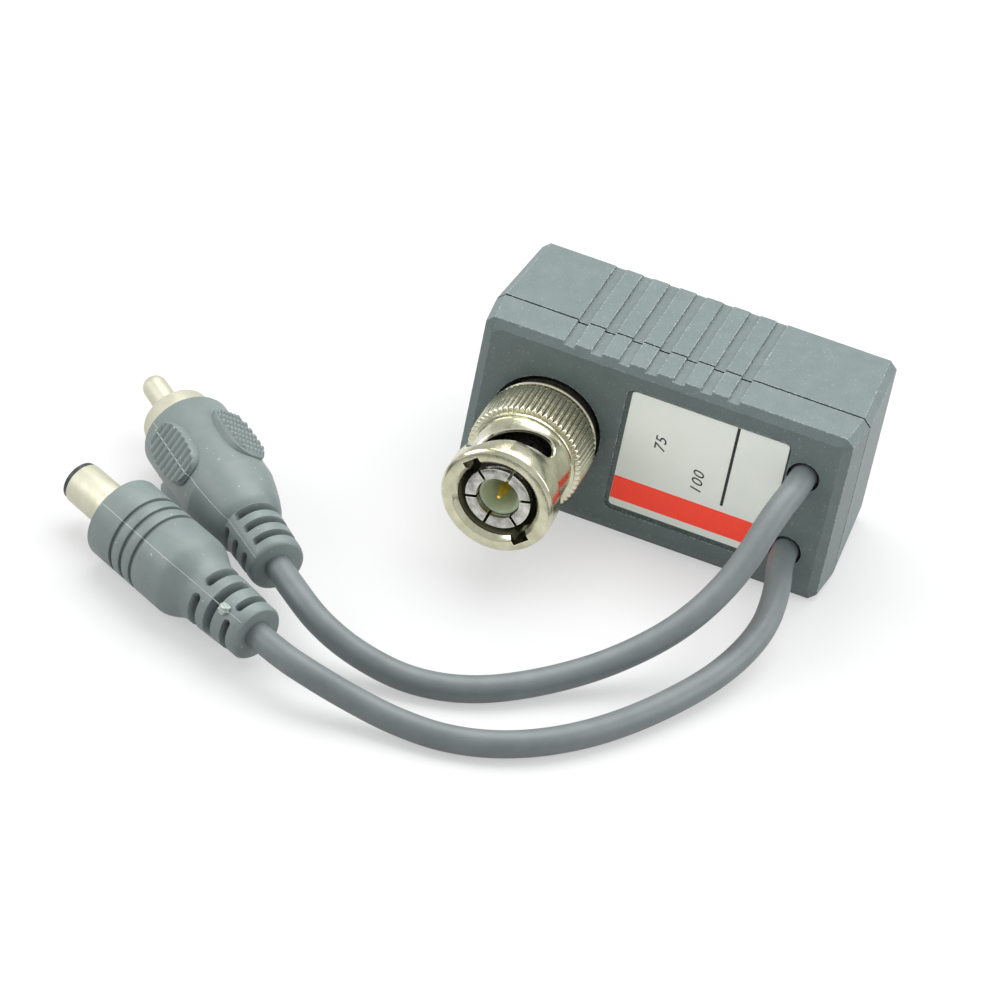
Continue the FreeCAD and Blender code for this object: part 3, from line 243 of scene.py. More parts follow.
# Housing: two shells injection-moulded in grey ABS, spark-eroded to a fine satin grain, with small
# painted glints on it. The front shell's tongue stands in the rear shell's rabbet.
def mixed(material, share, first, second):
    """A colour between two others, with a share of the second."""
    return add_node(material, "ShaderNodeMix", {"Factor": share, 6: first, 7: second},
                    data_type="RGBA").outputs[2]


def combined(material, operation, first, second):
    """One number from two, by an operation of the math node."""
    return add_node(material, "ShaderNodeMath", {0: first, 1: second},
                    operation=operation).outputs[0]


def edge_share(material, width, start, end, most=1.0):
    """How far a point belongs to an edge, up to most. Within a width of an edge the rounded normal
    turns away from the true one, and start and end are how far the two still agree."""
    rounded = add_node(material, "ShaderNodeBevel", {"Radius": width}, samples=6)
    facing = add_node(material, "ShaderNodeNewGeometry")
    agree = add_node(material, "ShaderNodeVectorMath", {0: rounded.outputs[0],
                                                        1: facing.outputs["Normal"]},
                     operation="DOT_PRODUCT")
    return spread(material, agree.outputs["Value"], start, end, 0.0, most)


def shaded(material, colour, dark, distance, start, end, least=0.0):
    """Paints shade into a colour where little open space lies within a distance, as in a seam."""
    space = add_node(material, "ShaderNodeAmbientOcclusion", {"Distance": distance}, samples=8)
    open_share = spread(material, space.outputs["AO"], start, end, least, 1.0)
    return mixed(material, open_share, linear(dark), colour)


def moulded_abs():
    """Moulded ABS: a cool green-grey, satin, with a fine grain, scattered painted glints, painted
    shade in its seams and painted glints broken along its edges."""
    material, place = new_material("moulded_abs")
    colour = mottled(material, place, 420, "#5E6B69", "#657270")
    specks = noise(material, place, 3600.0, 1.0)
    # Painted glints: pale specks scattered over the surface.
    painted_glint = spread(material, specks, 0.66, 0.76, 0.0, 0.2)
    # Painted glints, broken, along the edges.
    painted_edge_glint = combined(material, "MULTIPLY", edge_share(material, 0.00026, 0.99, 0.955, most=0.75),
                    spread(material, specks, 0.5, 0.6, 0.0, 0.8))
    pale = mixed(material, combined(material, "MAXIMUM", painted_glint, painted_edge_glint), colour, linear("#C6CECB"))
    grain = noise(material, place, 3000.0, 3.0)
    # Painted shade darkens the colour in seams, channels and the label's recess.
    return principled(material, {
        "Base Color": shaded(material, pale, "#101413", 0.0006, 0.2, 0.66),
        "Roughness": spread(material, grain, 0.0, 1.0, 0.36, 0.60), "IOR": 1.54,
        "Normal": raised(material, grain, 0.3, 0.00006)})


housing_abs = moulded_abs()


def softened(shape, width, angle=30):
    """Rounds the edges of a shape that turn by more than an angle, by a width in its own units."""
    edges = [edge for edge in shape.edges
             if len(edge.link_faces) == 2 and edge.calc_face_angle(0) > math.radians(angle)]
    bmesh.ops.bevel(shape, geom=edges, offset=width, offset_type="OFFSET", affect="EDGES",
                    segments=2, profile=0.5, material=-1, clamp_overlap=True)
    return shape


def mesh_piece(name, mesh, material, *replaced, body="housing", sharp=35):
    """Links a finished mesh as a piece that stands for its CAD nodes."""
    mesh.materials.clear()
    mesh.materials.append(material)
    mesh.polygons.foreach_set("use_smooth", [True] * len(mesh.polygons))
    mesh.set_sharp_from_angle(angle=math.radians(sharp))
    piece = bpy.data.objects.new(name, mesh)
    scene.collection.objects.link(piece)
    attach(piece, body)
    if replaced:
        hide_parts(*replaced)
    return piece


def edged_copy(node, material, width, wider=None):
    """A copy of a CAD node, merged, with its moulded edges rounded by a width in millimetres.
    Wider is a function that gives a point its new place before that."""
    mesh = nodes[node].data.copy()
    shape = bmesh.new()
    shape.from_mesh(mesh)
    bmesh.ops.remove_doubles(shape, verts=shape.verts, dist=0.000002)
    bmesh.ops.dissolve_limit(shape, angle_limit=math.radians(0.8), verts=shape.verts,
                             edges=shape.edges, use_dissolve_boundaries=False)
    if wider:
        for vert in shape.verts:
            vert.co = wider(vert.co)
    softened(shape, width / 1000, angle=28)
    shape.to_mesh(mesh)
    shape.free()
    return mesh_piece(node + "_moulding", mesh, material, node)


sheet = nodes["label_sheet"].data.vertices
film_low = [min(vert.co[axis] for vert in sheet) * 1000 for axis in range(3)]
film_high = [max(vert.co[axis] for vert in sheet) * 1000 for axis in range(3)]
margin_extra, margin_reach, film_play = 0.3, 0.6, 0.05
fade_start, fade_length = 1.2, 1.1


def label_margin(point):
    """Widens the label's recess at its left and lower sides, where the real film stands off, and
    fades out towards its other sides. Points behind the film or away from it stay."""
    x, y, z = point * 1000
    beside = film_low[0] - margin_reach < x < film_high[0] + margin_reach
    level = film_low[2] - margin_reach < z < film_high[2] + margin_reach
    if y > film_high[1] + film_play or not (beside and level):
        return point
    left = min(1.0, max(0.0, (film_low[0] + fade_start - x) / fade_length))
    low = min(1.0, max(0.0, (film_low[2] + fade_start - z) / fade_length))
    return Vector((x - margin_extra * left, y, z - margin_extra * low)) / 1000


for shell, wider in (("front_shell", label_margin), ("rear_shell", None)):
    moulding = edged_copy(shell, housing_abs, 0.12, wider=wider)
    even = moulding.modifiers.new("flat_faces_stay_flat", "WEIGHTED_NORMAL")
    even.keep_sharp = True


# Label: white polyester film, stuck into its recess, with a screen-printed red band, a black rule
# and the two impedances as plain numbers.
def plain(name, low, high, rough, metal=0.0, scale=500.0, detail=3.0, through=0.0, glow=0.0):
    """An even material with a soft mottle. Through is how much light goes in and scatters, and
    glow is the strength of a painted red glow that it gives off."""
    material, place = new_material(name)
    inputs = {"Base Color": mottled(material, place, scale, low, high, detail=detail),
              "Roughness": rough, "Metallic": metal}
    if through:
        inputs["Subsurface Weight"] = through
        inputs["Subsurface Scale"] = 0.001
    # A painted glow: red light given off, though the ink is no lamp.
    if glow:
        inputs["Emission Color"] = linear("#FF1A08")
        inputs["Emission Strength"] = glow
    return principled(material, inputs)


def shape_piece(name, shape, place, material, *replaced, body="housing", sharp=35):
    """Ends a shape that was built in its own frame: moves its mesh to its place and links it."""
    bmesh.ops.transform(shape, matrix=place, verts=shape.verts)
    mesh = bpy.data.meshes.new(name)
    shape.to_mesh(mesh)
    shape.free()
    return mesh_piece(name, mesh, material, *replaced, body=body, sharp=sharp)


def about_z(shape, angle):
    """Turns a shape about the z axis by an angle in degrees."""
    bmesh.ops.rotate(shape, verts=shape.verts, cent=(0, 0, 0),
                     matrix=Matrix.Rotation(math.radians(angle), 3, "Z"))
    return shape


def block(sizes, place, turn=0.0):
    """A closed block of three sizes, moved to a place and then turned about the z axis."""
    shape = bmesh.new()
    bmesh.ops.create_cube(shape, size=1.0)
    bmesh.ops.scale(shape, verts=shape.verts, vec=sizes)
    bmesh.ops.translate(shape, verts=shape.verts, vec=place)
    return about_z(shape, turn)


# Shapes are built in millimetres, and this brings them to metres.
millimetres = Matrix.Scale(0.001, 4)
# The film is off-white with a soft sheen. The inks are flat and satin, and the red one has a
# painted red glow, so it's a little brighter than the film.
film = plain("printed_film", "#F5FAEF", "#F9FDF4", 0.34, scale=130.0)
red_ink = plain("red_screen_ink", "#FF4529", "#FF4F33", 0.38, scale=2500.0, detail=4.0, glow=0.15)
black_ink = plain("black_screen_ink", "#141616", "#1D1F1F", 0.38, scale=2500.0, detail=4.0)
print_face = film_low[1]
film_shape = block([high - low for low, high in zip(film_low, film_high)],
                   [(high + low) / 2 for low, high in zip(film_low, film_high)])
corners = [edge for edge in film_shape.edges
           if abs(edge.verts[0].co.y - edge.verts[1].co.y) > 0.1]
bmesh.ops.bevel(film_shape, geom=corners, offset=0.5, offset_type="OFFSET", affect="EDGES",
                segments=6, profile=0.5, material=-1, clamp_overlap=True)
label = shape_piece("label_film", film_shape, millimetres, film, "label_sheet")
ink_thick, ink_sunk, letter_half = 0.016, 0.002, 0.008


def printed_bar(name, low, high, material):
    """A flat printed bar on the film, from corner to corner in millimetres of x and z."""
    bar = block((high[0] - low[0], ink_thick, high[1] - low[1]),
                ((low[0] + high[0]) / 2, print_face - ink_thick / 2 + ink_sunk,
                 (low[1] + high[1]) / 2))
    return shape_piece(name, bar, millimetres, material)


def printed_number(name, words, place, height):
    """A plain number printed up the label, from its foot at x and z in millimetres."""
    text = bpy.data.curves.new(name, "FONT")
    text.body = words
    text.size = height / 0.72
    text.shear = 0.25
    text.space_character = 1.12
    text.extrude = letter_half
    writer = bpy.data.objects.new(name, text)
    scene.collection.objects.link(writer)
    bpy.context.view_layer.update()
    drawn = bpy.data.meshes.new_from_object(writer)
    bpy.data.objects.remove(writer)
    shape = bmesh.new()
    shape.from_mesh(drawn)
    bmesh.ops.remove_doubles(shape, verts=shape.verts, dist=0.0001)
    stand = Matrix(((0, -1, 0, place[0]), (0, 0, 1, print_face - letter_half),
                    (1, 0, 0, place[1]), (0, 0, 0, 1)))
    return shape_piece(name, shape, millimetres @ stand, black_ink)


band_low, band_high, band_inset = 5.0, 8.4, 0.02
rule_x, rule_half, rule_low, rule_inset = 10.0, 0.19, 9.3, 0.05
printed_bar("printed_band", (film_low[0] + band_inset, band_low),
            (film_high[0] - band_inset, band_high), red_ink)
printed_bar("printed_rule", (rule_x - rule_half, rule_low),
            (rule_x + rule_half, film_high[2] - rule_inset), black_ink)
printed_number("printed_75", "75", (1.45, 13.9), 1.5)
printed_number("printed_100", "100", (7.05, 9.7), 1.5)


# Turned metal of the plugs: brass with bright nickel plating, faintly yellow, with fine turning
# marks round its axis and a haze from handling.
def round_axis(material, place, centre, direction):
    """A turned piece's own measures: the distance from its axis and the height along it."""
    arm = add_node(material, "ShaderNodeVectorMath", {0: place, 1: centre}, operation="SUBTRACT")
    along = add_node(material, "ShaderNodeVectorMath", {0: arm.outputs[0], 1: direction},
                     operation="DOT_PRODUCT")
    across = add_node(material, "ShaderNodeVectorMath", {0: arm.outputs[0], 1: direction},
                      operation="CROSS_PRODUCT")
    radius = add_node(material, "ShaderNodeVectorMath", {0: across.outputs[0]}, operation="LENGTH")
    return radius.outputs["Value"], along.outputs["Value"]


def nickel_plate(name, axis, low, high, smooth, rough, marks=0.12, dents=0.16, patches=700.0,
                 painted_shade=None, rims=0.0):
    """Nickel on turned brass: clouded between two colours and two roughnesses, with turning marks
    and shallow dents. Axis is the centre and direction that the piece was turned on. Painted
    shade is what measures it, where it ends and unshaded plate starts, its colour, and the part of
    the axis that it keeps to. Rims is how wide the painted highlight on the edges is."""
    material, place = new_material(name)
    radius, along = round_axis(material, place, *axis)
    colour = mottled(material, place, patches, low, high, detail=5.0)
    if rims:
        # Painted highlight: a pale colour on the edges.
        painted_rim_highlight = edge_share(material, rims, 0.995, 0.94)
        colour = mixed(material, painted_rim_highlight, colour, linear("#EDEBDC"))
    unshaded = 1.0
    # Painted shade: a dark colour, with no metal, where the measure falls short of its start,
    # within the given part of the axis.
    if painted_shade:
        measure, start, end, shade, first, last = painted_shade
        out_of_shade = spread(material, radius if measure == "radius" else along, start, end, 0.0, 1.0)
        within = add_node(material, "ShaderNodeMath", {
            0: along, 1: (first + last) / 2, 2: (last - first) / 2}, operation="COMPARE")
        beyond = combined(material, "SUBTRACT", 1.0, within.outputs[0])
        unshaded = combined(material, "MAXIMUM", out_of_shade, beyond)
        colour = mixed(material, unshaded, linear(shade), colour)
    cloud = noise(material, place, 1100.0, 5.0, rough=0.65)
    lathe_place = add_node(material, "ShaderNodeCombineXYZ", {"X": radius, "Y": along})
    turned = noise(material, lathe_place.outputs[0], 6000.0, 2.0)
    uneven = raised(material, noise(material, place, 420.0, 3.0), dents, 0.0004)
    return principled(material, {
        "Base Color": colour, "Roughness": spread(material, cloud, 0.35, 0.7, smooth, rough),
        "Metallic": unshaded, "Normal": raised(material, turned, marks, 0.00003, below=uneven)})


# Bayonet plug: plated brass parts, turned on a lathe and clamped to the housing by a nut. Its own
# frame has z forward along the plug from the label face, in millimetres, and angles anticlockwise
# as seen from the front.
axis_x, axis_z, face_y = -14.0, 12.0, -1.55
bayonet = (millimetres @ Matrix.Translation((axis_x, face_y, axis_z))
           @ Matrix.Rotation(math.radians(90), 4, "X"))
plug_axis = ((axis_x / 1000, face_y / 1000, axis_z / 1000), (0, -1, 0))
# The small rings are bright and a little worn. The knurl has painted shade in its grooves, the
# bored sleeve painted shade inside, and the fingers painted shade behind their end faces. The
# sleeve and the fingers also have a painted highlight on their edges.
nickel = nickel_plate("bright_nickel_plate", plug_axis, "#C4C1A4", "#D8D5BC", 0.12, 0.28)
knurl_nickel = nickel_plate("knurled_nickel_plate", plug_axis, "#D2CFB4", "#DEDBC4", 0.2, 0.3,
                            marks=0.05, dents=0.04, patches=260.0,
                            painted_shade=("radius", 0.00714, 0.00736, "#38362B", 0.0017, 0.0081))
bored_nickel = nickel_plate("bored_nickel_plate", plug_axis, "#B5B397", "#D9D6BD", 0.14, 0.3,
                            patches=330.0, rims=0.0002,
                            painted_shade=("radius", 0.006, 0.0061, "#77765F", -0.01, 0.0177))
finger_nickel = nickel_plate("finger_nickel_plate", plug_axis, "#969390", "#D3D3CB", 0.2, 0.34,
                             patches=900.0, dents=0.4, rims=0.0002,
                             painted_shade=("along", 0.0166, 0.0172, "#36322F", -0.01, 0.02))


def lathed(points, steps=128):
    """Spins a closed outline of radius and height, in millimetres, round the z axis."""
    shape = bmesh.new()
    verts = [shape.verts.new((radius, 0, height)) for radius, height in points]
    edges = [shape.edges.new(pair) for pair in zip(verts, verts[1:] + verts[:1])]
    bmesh.ops.spin(shape, geom=verts + edges, axis=(0, 0, 1), cent=(0, 0, 0),
                   angle=math.tau, steps=steps, use_merge=True, use_duplicate=False)
    bmesh.ops.remove_doubles(shape, verts=shape.verts, dist=0.0005)
    bmesh.ops.recalc_face_normals(shape, faces=shape.faces)
    return shape


def swept(outline, angle, steps):
    """Spins a face, from its outline of radius and height, by an angle round the z axis."""
    shape = bmesh.new()
    face = shape.faces.new([shape.verts.new((radius, 0, height)) for radius, height in outline])
    bmesh.ops.spin(shape, geom=[face] + face.edges[:] + face.verts[:], axis=(0, 0, 1),
                   cent=(0, 0, 0), angle=angle, steps=steps, use_merge=False,
                   use_duplicate=False)
    return shape


def slot_tool(start, end, levels, height, step=1.0):
    """A closed tool for a round-ended slot between two angles in degrees. The levels are pairs
    of radius and half width, from the inside out; height gives the middle line at an angle."""
    outline = [(radius, -half) for radius, half in levels]
    outline += [(radius, half) for radius, half in reversed(levels)]
    sweep = math.radians(end - start)
    shape = swept(outline, sweep, max(8, int(round((end - start) / step))))
    narrow, least = levels[0][1], 0.02
    for vert in shape.verts:
        radius = math.hypot(vert.co.x, vert.co.y)
        side = vert.co.z
        share = math.atan2(vert.co.y, vert.co.x) % math.tau / sweep
        share = 0.0 if share > 1.5 else min(share, 1.0)
        flare = math.degrees((abs(side) - narrow) / radius)
        angle = start - flare + (end - start + 2 * flare) * share
        inset = max(0.0, abs(side) - min(share, 1 - share) * sweep * radius)
        half = math.sqrt(max(side * side - inset * inset, least * least))
        turn = math.radians(angle)
        vert.co = Vector((radius * math.cos(turn), radius * math.sin(turn),
                          height(angle) + math.copysign(half, side)))
    bmesh.ops.recalc_face_normals(shape, faces=shape.faces)
    return shape


def holder(shape, name):
    """An object that holds a shape while it's cut."""
    mesh = bpy.data.meshes.new(name)
    shape.to_mesh(mesh)
    shape.free()
    item = bpy.data.objects.new(name, mesh)
    scene.collection.objects.link(item)
    return item


def carved(shape, tools):
    """Cuts closed tools out of a closed shape."""
    whole = holder(shape, "whole")
    cutters = [holder(tool, "cutter") for tool in tools]
    for cutter in cutters:
        cut = whole.modifiers.new("cut", "BOOLEAN")
        cut.object = cutter
        cut.operation = "DIFFERENCE"
        cut.solver = "EXACT"
    bpy.context.view_layer.update()
    result = bpy.data.meshes.new_from_object(
        whole.evaluated_get(bpy.context.evaluated_depsgraph_get()))
    for item in [whole] + cutters:
        bpy.data.objects.remove(item)
    done = bmesh.new()
    done.from_mesh(result)
    return done


# Coupling sleeve: turned brass, with a straight-knurled grip behind, and in front the thin neck and
# band, milled through by two bayonet slots that climb from their entry notches to a round detent.
# A clip on the plug body holds it from inside, and it turns freely.
grip_rear, grip_front = 1.15, 8.25
knurl_rear, knurl_r, knurl_deep, knurl_teeth = 2.5, 7.5, 0.42, 60
crest_fullness = 0.42
grip = lathed([(5.6, grip_rear), (7.0, grip_rear), (7.16, grip_rear + 0.12),
               (7.16, grip_rear + 0.32), (7.0, grip_rear + 0.45), (6.7, grip_rear + 0.5),
               (6.7, 2.2), (7.1, 2.35)]
              + [(knurl_r, knurl_rear + 0.54 * index) for index in range(11)]
              + [(7.46, 8.1), (7.37, 8.19), (7.22, grip_front), (5.6, grip_front)], steps=720)
for vert in grip.verts:
    radius = math.hypot(vert.co.x, vert.co.y)
    if vert.co.z > knurl_rear - 0.2 and radius > knurl_r - knurl_deep:
        wave = 0.5 + 0.5 * math.cos(knurl_teeth * math.atan2(vert.co.y, vert.co.x))
        size = min(1.0, (knurl_r - knurl_deep * (1 - wave ** crest_fullness)) / radius)
        vert.co.x *= size
        vert.co.y *= size
grip_piece = shape_piece("sleeve_grip", grip, bayonet, knurl_nickel, "coupling_sleeve",
                         body="sleeve", sharp=50)

# In degrees: where the first slot's middle line starts, how far it turns, and how far the slot
# reaches past its two ends. The levels flare the slot outwards, as the milled edge is chamfered.
slot_first, slot_turn, slot_lead, detent_turn = 132.5, 72.0, 4, 13.5
slot_high, slot_low = 14.7, 11.7
slot_levels = [(4.8, 1.62), (6.28, 1.62), (8.0, 3.3)]
entry_sizes, entry_middle = (1.5, 2.3, 6.0), (5.5, 0, slot_high + 2.6)


def slot_line(first):
    """The slot's middle line: steep by the entry notch, level at the detent."""
    def height(angle):
        share = min(1.0, max(0.0, (first - angle) / slot_turn))
        return slot_low + (slot_high - slot_low) * (1 - share) ** 1.3
    return height


neck = softened(lathed([(5.1, 7.6), (6.8, 7.6), (6.8, 8.8), (6.4, 8.8), (6.4, 15.1), (7.28, 15.1),
                        (7.28, 18.1), (6.9, 18.5), (5.7, 18.5), (5.1, 17.9), (5.1, 16.4),
                        (5.95, 16.0), (5.95, 9.6), (5.1, 9.2)]), 0.11)
cutters = []
for first in (slot_first, slot_first + 180):
    cutters.append(slot_tool(first - slot_turn - detent_turn, first + slot_lead, slot_levels,
                             slot_line(first)))
    cutters.append(block(entry_sizes, entry_middle, first))
neck_piece = shape_piece("sleeve_neck", carved(neck, cutters), bayonet, bored_nickel,
                         body="sleeve")

# Plug body: the shank, the flange against the housing, and six spring fingers that open a little
# towards their tips, turned in one piece and sawn three times across.
finger_reach, finger_deep, finger_turn = 17.8, 8.3, 15
saw_across, saw_width, saw_length = 12.0, 0.4, 8.8
fingers = softened(lathed([(2.2, -6.3), (4.75, -6.3), (4.75, -1.4), (6.6, -1.4), (6.6, -0.2),
                           (4.4, -0.2), (4.4, 0.6), (3.9, 0.6), (3.9, 1.1), (4.4, 1.1),
                           (4.4, 5.6), (4.9, 5.6), (4.9, 7.6), (4.05, 7.6), (4.05, 16.5),
                           (4.25, 17.0), (4.25, finger_reach), (2.8, finger_reach), (2.8, 7.0),
                           (2.2, 7.0)]), 0.11)
saw_middle = finger_reach - finger_deep + saw_length / 2
saws = [block((saw_across, saw_width, saw_length), (0, 0, saw_middle), finger_turn + 60 * turn)
        for turn in range(3)]
finger_piece = shape_piece("plug_fingers", carved(fingers, saws), bayonet, finger_nickel,
                           "plug_shell")


# Dielectric and centre pin: turned acetal, milky and a little green in the shade, dished round
# a gold-plated pin with a long point. Both are pressed into the plug body.
def put_on(name, material):
    """Gives a CAD node a material in place of the plain one it came with."""
    mesh = nodes[name].data
    mesh.materials.clear()
    mesh.materials.append(material)


acetal = plain("acetal", "#AFBC9C", "#BECBAD", 0.30, through=0.3)
# Gold: warm and polished, a little soft in its mirror.
gold = plain("gold_plate", "#F2BE3A", "#FBD565", 0.24, metal=0.85, scale=1500.0)
put_on("plug_insulator", acetal)
put_on("centre_pin", gold)
put_on("jack_contacts", gold)


# Moulded plugs: PVC overmoulded on each plug and its lead, satin grey-green, with a pale parting
# line, slotted strain relief and specks of dust.
def moulded_pvc():
    """Overmoulded PVC: softer and duller than the leads, with rare pale specks of dust and
    painted shade in its slots and hollows.
    """
    material, place = new_material("overmoulded_pvc")
    colour = mottled(material, place, 330, "#6A7573", "#727E7B")
    specks = spread(material, noise(material, place, 2600.0, 0.0), 0.83, 0.85, 0.0, 0.6)
    dusty = mixed(material, specks, colour, linear("#C8CEC8"))
    # Painted shade darkens the colour in the relief's slots and other hollows.
    return principled(material, {
        "Base Color": shaded(material, dusty, "#1E2423", 0.0012, 0.15, 0.75, least=0.25),
        "Roughness": 0.46, "IOR": 1.52,
        "Normal": raised(material, noise(material, place, 2100.0, 3.0), 0.14, 0.00006)})


plug_pvc = moulded_pvc()
# Flash: thin, pale and a little rough, where the mould's halves met.
flash_pvc = plain("moulding_flash", "#98A39E", "#AAB4AE", 0.5, scale=1800.0)


def plug_frame(place, heading):
    """The frame of a lying plug: z along it towards its lead, x level and y up."""
    x, y, z = place
    turn = math.radians(heading)
    return millimetres @ Matrix(((-math.sin(turn), 0, math.cos(turn), x),
                                 (math.cos(turn), 0, math.sin(turn), y),
                                 (0, 1, 0, z), (0, 0, 0, 1)))


def flash_line(name, outline, angle, place, width=0.11, stand=0.03, sunk=0.25):
    """The thin pale line that the mould's parting leaves along an outline."""
    points = [(radius + stand, height) for radius, height in outline]
    points += [(radius - sunk, height) for radius, height in reversed(outline)]
    sweep = width / outline[0][0]
    shape = about_z(swept(points, sweep, 1), angle - math.degrees(sweep / 2))
    bmesh.ops.recalc_face_normals(shape, faces=shape.faces)
    return shape_piece(name, shape, place, flash_pvc)


relief_core, relief_web = 1.95, 0.78


def relief_cutters(middles, half, surface_r, angle):
    """Tools for pairs of round-ended slots round a strain relief, which leave its core and a web
    on each side."""
    web = math.degrees(relief_web / surface_r)
    levels = [(relief_core, half), (surface_r - 0.2, half), (surface_r + 1.0, half + 0.65)]
    return [slot_tool(first + web, first + 180 - web, levels, lambda turn, middle=middle: middle,
                      step=2.5)
            for middle in middles for first in (angle, angle + 180)]


# Phono plug: round PVC body with four oval grips, two ridged across and two nubbed, moulded over a
# rolled shell and a solid pin, both in matte nickel.
phono_place, phono_heading, phono_seam = (-54.09, -20.90, 6.60), -43.9, 180 - 28.5
phono = plug_frame(phono_place, phono_heading)
phono_r = 5.8
phono_skin = ([(phono_r - 0.35, 0), (phono_r - 0.1, 0.1), (phono_r, 0.35), (phono_r, 13.5),
               (phono_r, 13.6), (phono_r - 0.015, 13.66)]
              + [(3.9 + 1.9 * (1 - step / 14) ** 0.62, 13.6 + 6.1 * step / 14)
                 for step in range(1, 15)]
              + [(3.85, 19.75), (3.6, 26.9), (3.5, 27.35)])
phono_shape = lathed([(1.6, 7.8), (1.6, 4.8), (4.45, 4.8), (4.45, 0)] + phono_skin
                     + [(3.2, 27.6), (0, 27.6), (0, 7.8)], steps=96)
phono_shape = carved(phono_shape, relief_cutters((20.5, 23.0, 25.5), 0.5, 3.72, phono_seam))
phono_piece = shape_piece("phono_moulding", phono_shape, phono, plug_pvc, "phono_plug_body",
                          sharp=40)
# Half a pad's length and width, how square its oval is, and a nub's width. Then the share of the
# way out where its rim starts, how far it stands off the body and sinks into it, and how low it may
# reach, so that it keeps clear of the table.
pad_length, pad_width, pad_square, nub_width = 4.85, 2.75, 0.74, 0.62
pad_rim, pad_stand, pad_sunk, table_side = 0.93, 0.12, 1.3, -6.5


def grip_pad(angle, nubs):
    """A flat-topped grip that stands on the round body: nine ridges across, or eight rows cut
    into nubs. It keeps clear of the table that the plug lies on."""
    middle, pitch, height = (7.9, 1.25, 0.68) if nubs else (6.8, 1.08, 0.55)
    shape = bmesh.new()
    bmesh.ops.create_grid(shape, x_segments=180, y_segments=120 if nubs else 48, size=1.0)
    for vert in shape.verts:
        u, v = vert.co.x, vert.co.y
        along = u * math.sqrt(1 - v * v / 2)
        aside = v * math.sqrt(1 - u * u / 2)
        rim = math.hypot(along, aside)
        length = pad_length * math.copysign(abs(along) ** pad_square, along)
        width = pad_width * math.copysign(abs(aside) ** pad_square, aside)
        wave = 0.5 + 0.5 * math.cos(math.tau * length / pitch)
        if nubs:
            nub = 0.5 + 0.5 * math.cos(math.tau * (width / nub_width + 0.5))
            ridge = 1.15 * wave ** 0.7 * (0.66 + 0.34 * nub ** 0.8) - 0.15
        else:
            ridge = 0.35 + 0.65 * wave ** 0.55
        inner = min(1.0, max(0.0, (0.96 - rim) / 0.05))
        edge = math.sqrt(max(0.0, 1 - max(0.0, (rim - pad_rim) / (1 - pad_rim)) ** 2))
        rise = height * edge * (0.3 + 0.7 * ridge * inner)
        vert.co = Vector((phono_r + pad_stand + rise, width, middle + length))
    rim_edges = [edge for edge in shape.edges if len(edge.link_faces) == 1]
    grown = bmesh.ops.extrude_edge_only(shape, edges=rim_edges)
    for item in grown["geom"]:
        if isinstance(item, bmesh.types.BMVert):
            item.co.x = phono_r - pad_sunk
    bmesh.ops.holes_fill(shape, edges=[edge for edge in shape.edges if len(edge.link_faces) == 1])
    about_z(shape, angle)
    for vert in shape.verts:
        vert.co.y = max(vert.co.y, table_side)
    bmesh.ops.recalc_face_normals(shape, faces=shape.faces)
    return shape


for index in range(4):
    pad = shape_piece("phono_grip_%d" % index, grip_pad(phono_seam + 90 * index, index % 2),
                      phono, plug_pvc)
over_pad = phono_r + 0.62
for side in (0, 180):
    flash_line("phono_flash_%d" % side,
               [phono_skin[2], (phono_r, 1.9), (over_pad, 2.1), (over_pad, 11.5),
                (phono_r, 11.75)] + phono_skin[3:], phono_seam + side, phono)

# Matte nickel: creamy, with a soft even sheen and hardly a mark.
phono_way = (math.cos(math.radians(phono_heading)), math.sin(math.radians(phono_heading)), 0)
cream = nickel_plate("matte_nickel_plate", ([part / 1000 for part in phono_place], phono_way),
                     "#C2C0AC", "#CAC8B6", 0.5, 0.6, marks=0.03, dents=0.02)
phono_shell = softened(lathed([(4.12, -3.2), (4.45, -3.2), (4.45, 4.6), (4.12, 4.6)], steps=96),
                       0.09)
shell_piece = shape_piece("phono_cup", phono_shell, phono, cream, "phono_shell")
phono_pin = lathed([(0, -11.2), (0.55, -11.17), (1.05, -10.98), (1.4, -10.6), (1.57, -10.1),
                    (1.6, -9.6), (1.6, 7.0), (0, 7.0)], steps=64)
pin_piece = shape_piece("phono_tip", phono_pin, phono, cream, "phono_pin", sharp=60)
# Polyethylene: a waxy off-white disc round the pin.
put_on("phono_insulator", plain("white_polyethylene", "#C9CBC4", "#D3D5CE", 0.45))


# Power plug: round PVC body with three soft ring grooves, a waisted shoulder, a slotted relief with
# a gate mark on the parting line, and a nickel-plated barrel with a black mouth ring.
def blend(low, high, first, last, count):
    """Points on a smooth S between two radii along a plug."""
    shares = [index / count for index in range(1, count)]
    return [(low + (high - low) * share * share * (3 - 2 * share), first + (last - first) * share)
            for share in shares]


power_seam, power_r = 180 - 43.7, 5.5
power = plug_frame((-54.58, -40.00, 5.55), -28.8)
groove_first, groove_pitch = 4.5, 1.9
power_skin = [(power_r - 0.25, 0), (power_r - 0.06, 0.07), (power_r, 0.25)]
for index in range(3):
    middle = groove_first + groove_pitch * index
    power_skin += [(power_r, middle - 0.45), (power_r - 0.04, middle - 0.3),
                   (power_r - 0.36, middle - 0.2), (power_r - 0.42, middle),
                   (power_r - 0.36, middle + 0.18), (power_r - 0.05, middle + 0.3),
                   (power_r, middle + 0.45)]
power_skin += ([(power_r, 13.0)] + blend(power_r, 4.1, 13.0, 16.9, 9)
               + [(4.1, 16.9), (4.05, 18.0), (3.75, 24.0), (3.65, 24.6), (3.65, 25.7)])
power_shape = lathed([(2.75, 7.2), (2.75, 0)] + power_skin + [(3.4, 26.0), (0, 26.0), (0, 7.2)],
                     steps=96)
power_shape = carved(power_shape, relief_cutters((18.5, 24.0), 0.52, 3.95, power_seam)
                     + relief_cutters((21.2,), 0.62, 3.95, power_seam + 90))
power_piece = shape_piece("power_moulding", power_shape, power, plug_pvc, "power_plug_body",
                          sharp=40)
for side in (0, 180):
    flash_line("power_flash_%d" % side, power_skin[2:], power_seam + side, power)

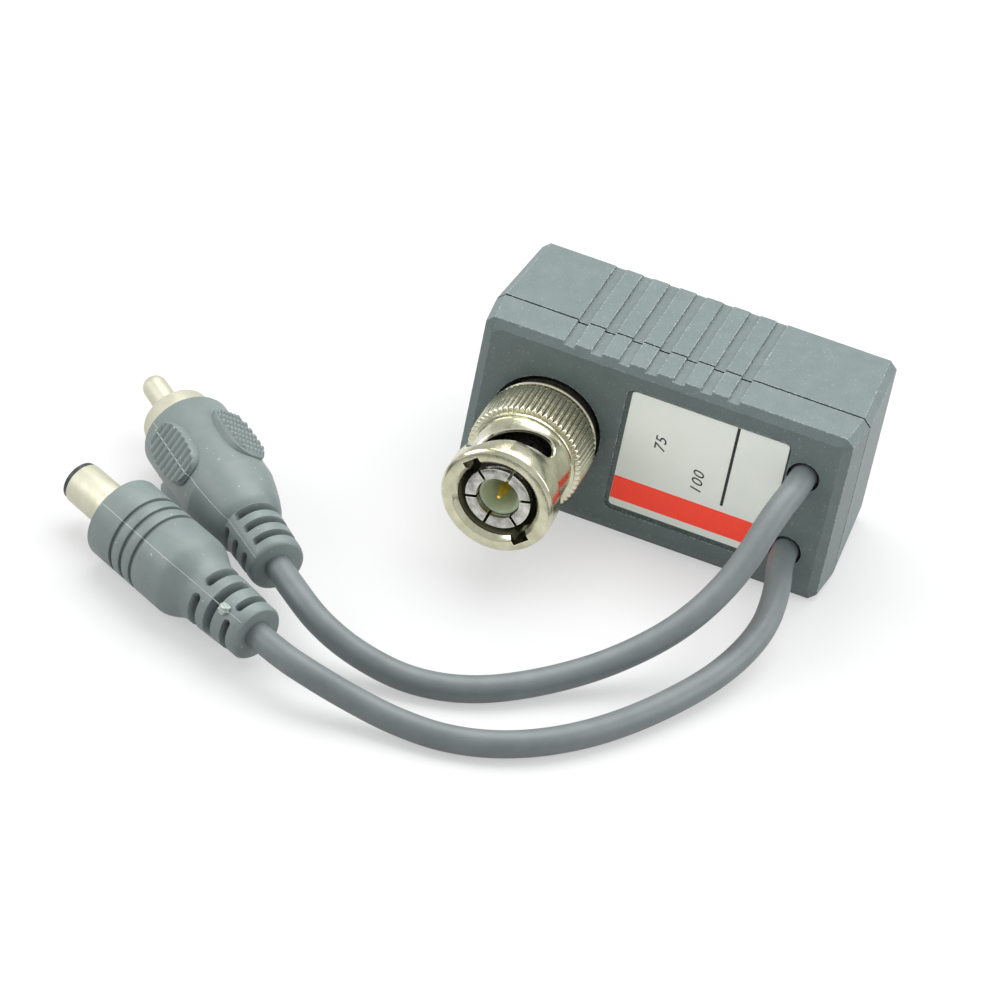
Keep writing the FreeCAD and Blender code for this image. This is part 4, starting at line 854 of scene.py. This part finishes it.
gate_r, gate_lumps, gate_place = 0.72, 0.22, (3.8, 0, 22.7)
gate = bmesh.new()
bmesh.ops.create_icosphere(gate, subdivisions=4, radius=gate_r)
for vert in gate.verts:
    vert.co *= 1 + gate_lumps * math.sin(9 * vert.co.x + 4) * math.cos(11 * vert.co.y + 2)
bmesh.ops.translate(gate, verts=gate.verts, vec=gate_place)
shape_piece("gate_mark", about_z(gate, power_seam), power, flash_pvc)

barrel = softened(lathed([(2.4, -7.75), (2.75, -7.75), (2.75, 7.0), (2.4, 7.0)], steps=96), 0.06)
barrel_piece = shape_piece("power_tube", barrel, power, cream, "power_barrel")
# Polyamide: near black, with a satin moulded skin.
black_plastic = plain("black_polyamide", "#1A1C1C", "#242727", 0.42)
put_on("power_insulator", black_plastic)
put_on("power_contact", nickel)


# Pieces inside and behind: the board on its posts, with its ring transformer, chips and moulded
# jack, the rubber and metal rings that seat and hold the plug, and the stoppers and wires of the
# leads.

# Rubber is black and dull, solder resist a green lacquer, enamelled copper glossy, ceramic tan and
# matte, and the wires' PVC red and waxy.
black_rubber = plain("black_nitrile_rubber", "#0D0F0F", "#121515", 0.5)
wire_jacket = plain("wire_insulation", "#8C1D18", "#98251F", 0.45)
inner_materials = {
    "jack_housing": black_plastic, "chip_resistors": black_plastic, "balun_core": black_plastic,
    "seat_washer": black_rubber, "face_gasket": black_rubber,
    "shank_nut": nickel, "thrust_washer": nickel, "retaining_clip": nickel,
    "circuit_board": plain("solder_resist", "#0D4A25", "#12552C", 0.35),
    "balun_windings": plain("enamelled_copper", "#8F3A17", "#A34B1F", 0.3, metal=1.0),
    "chip_capacitors": plain("sintered_ceramic", "#B59B74", "#C2A982", 0.5),
    "audio_lead_stopper": lead_pvc, "power_lead_stopper": lead_pvc,
    "audio_wires": wire_jacket, "power_wires": wire_jacket}
for name, material in inner_materials.items():
    put_on(name, material)
spring = mesh_piece("wave_washer", nodes["wave_spring"].data.copy(), nickel, "wave_spring")
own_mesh(spring)
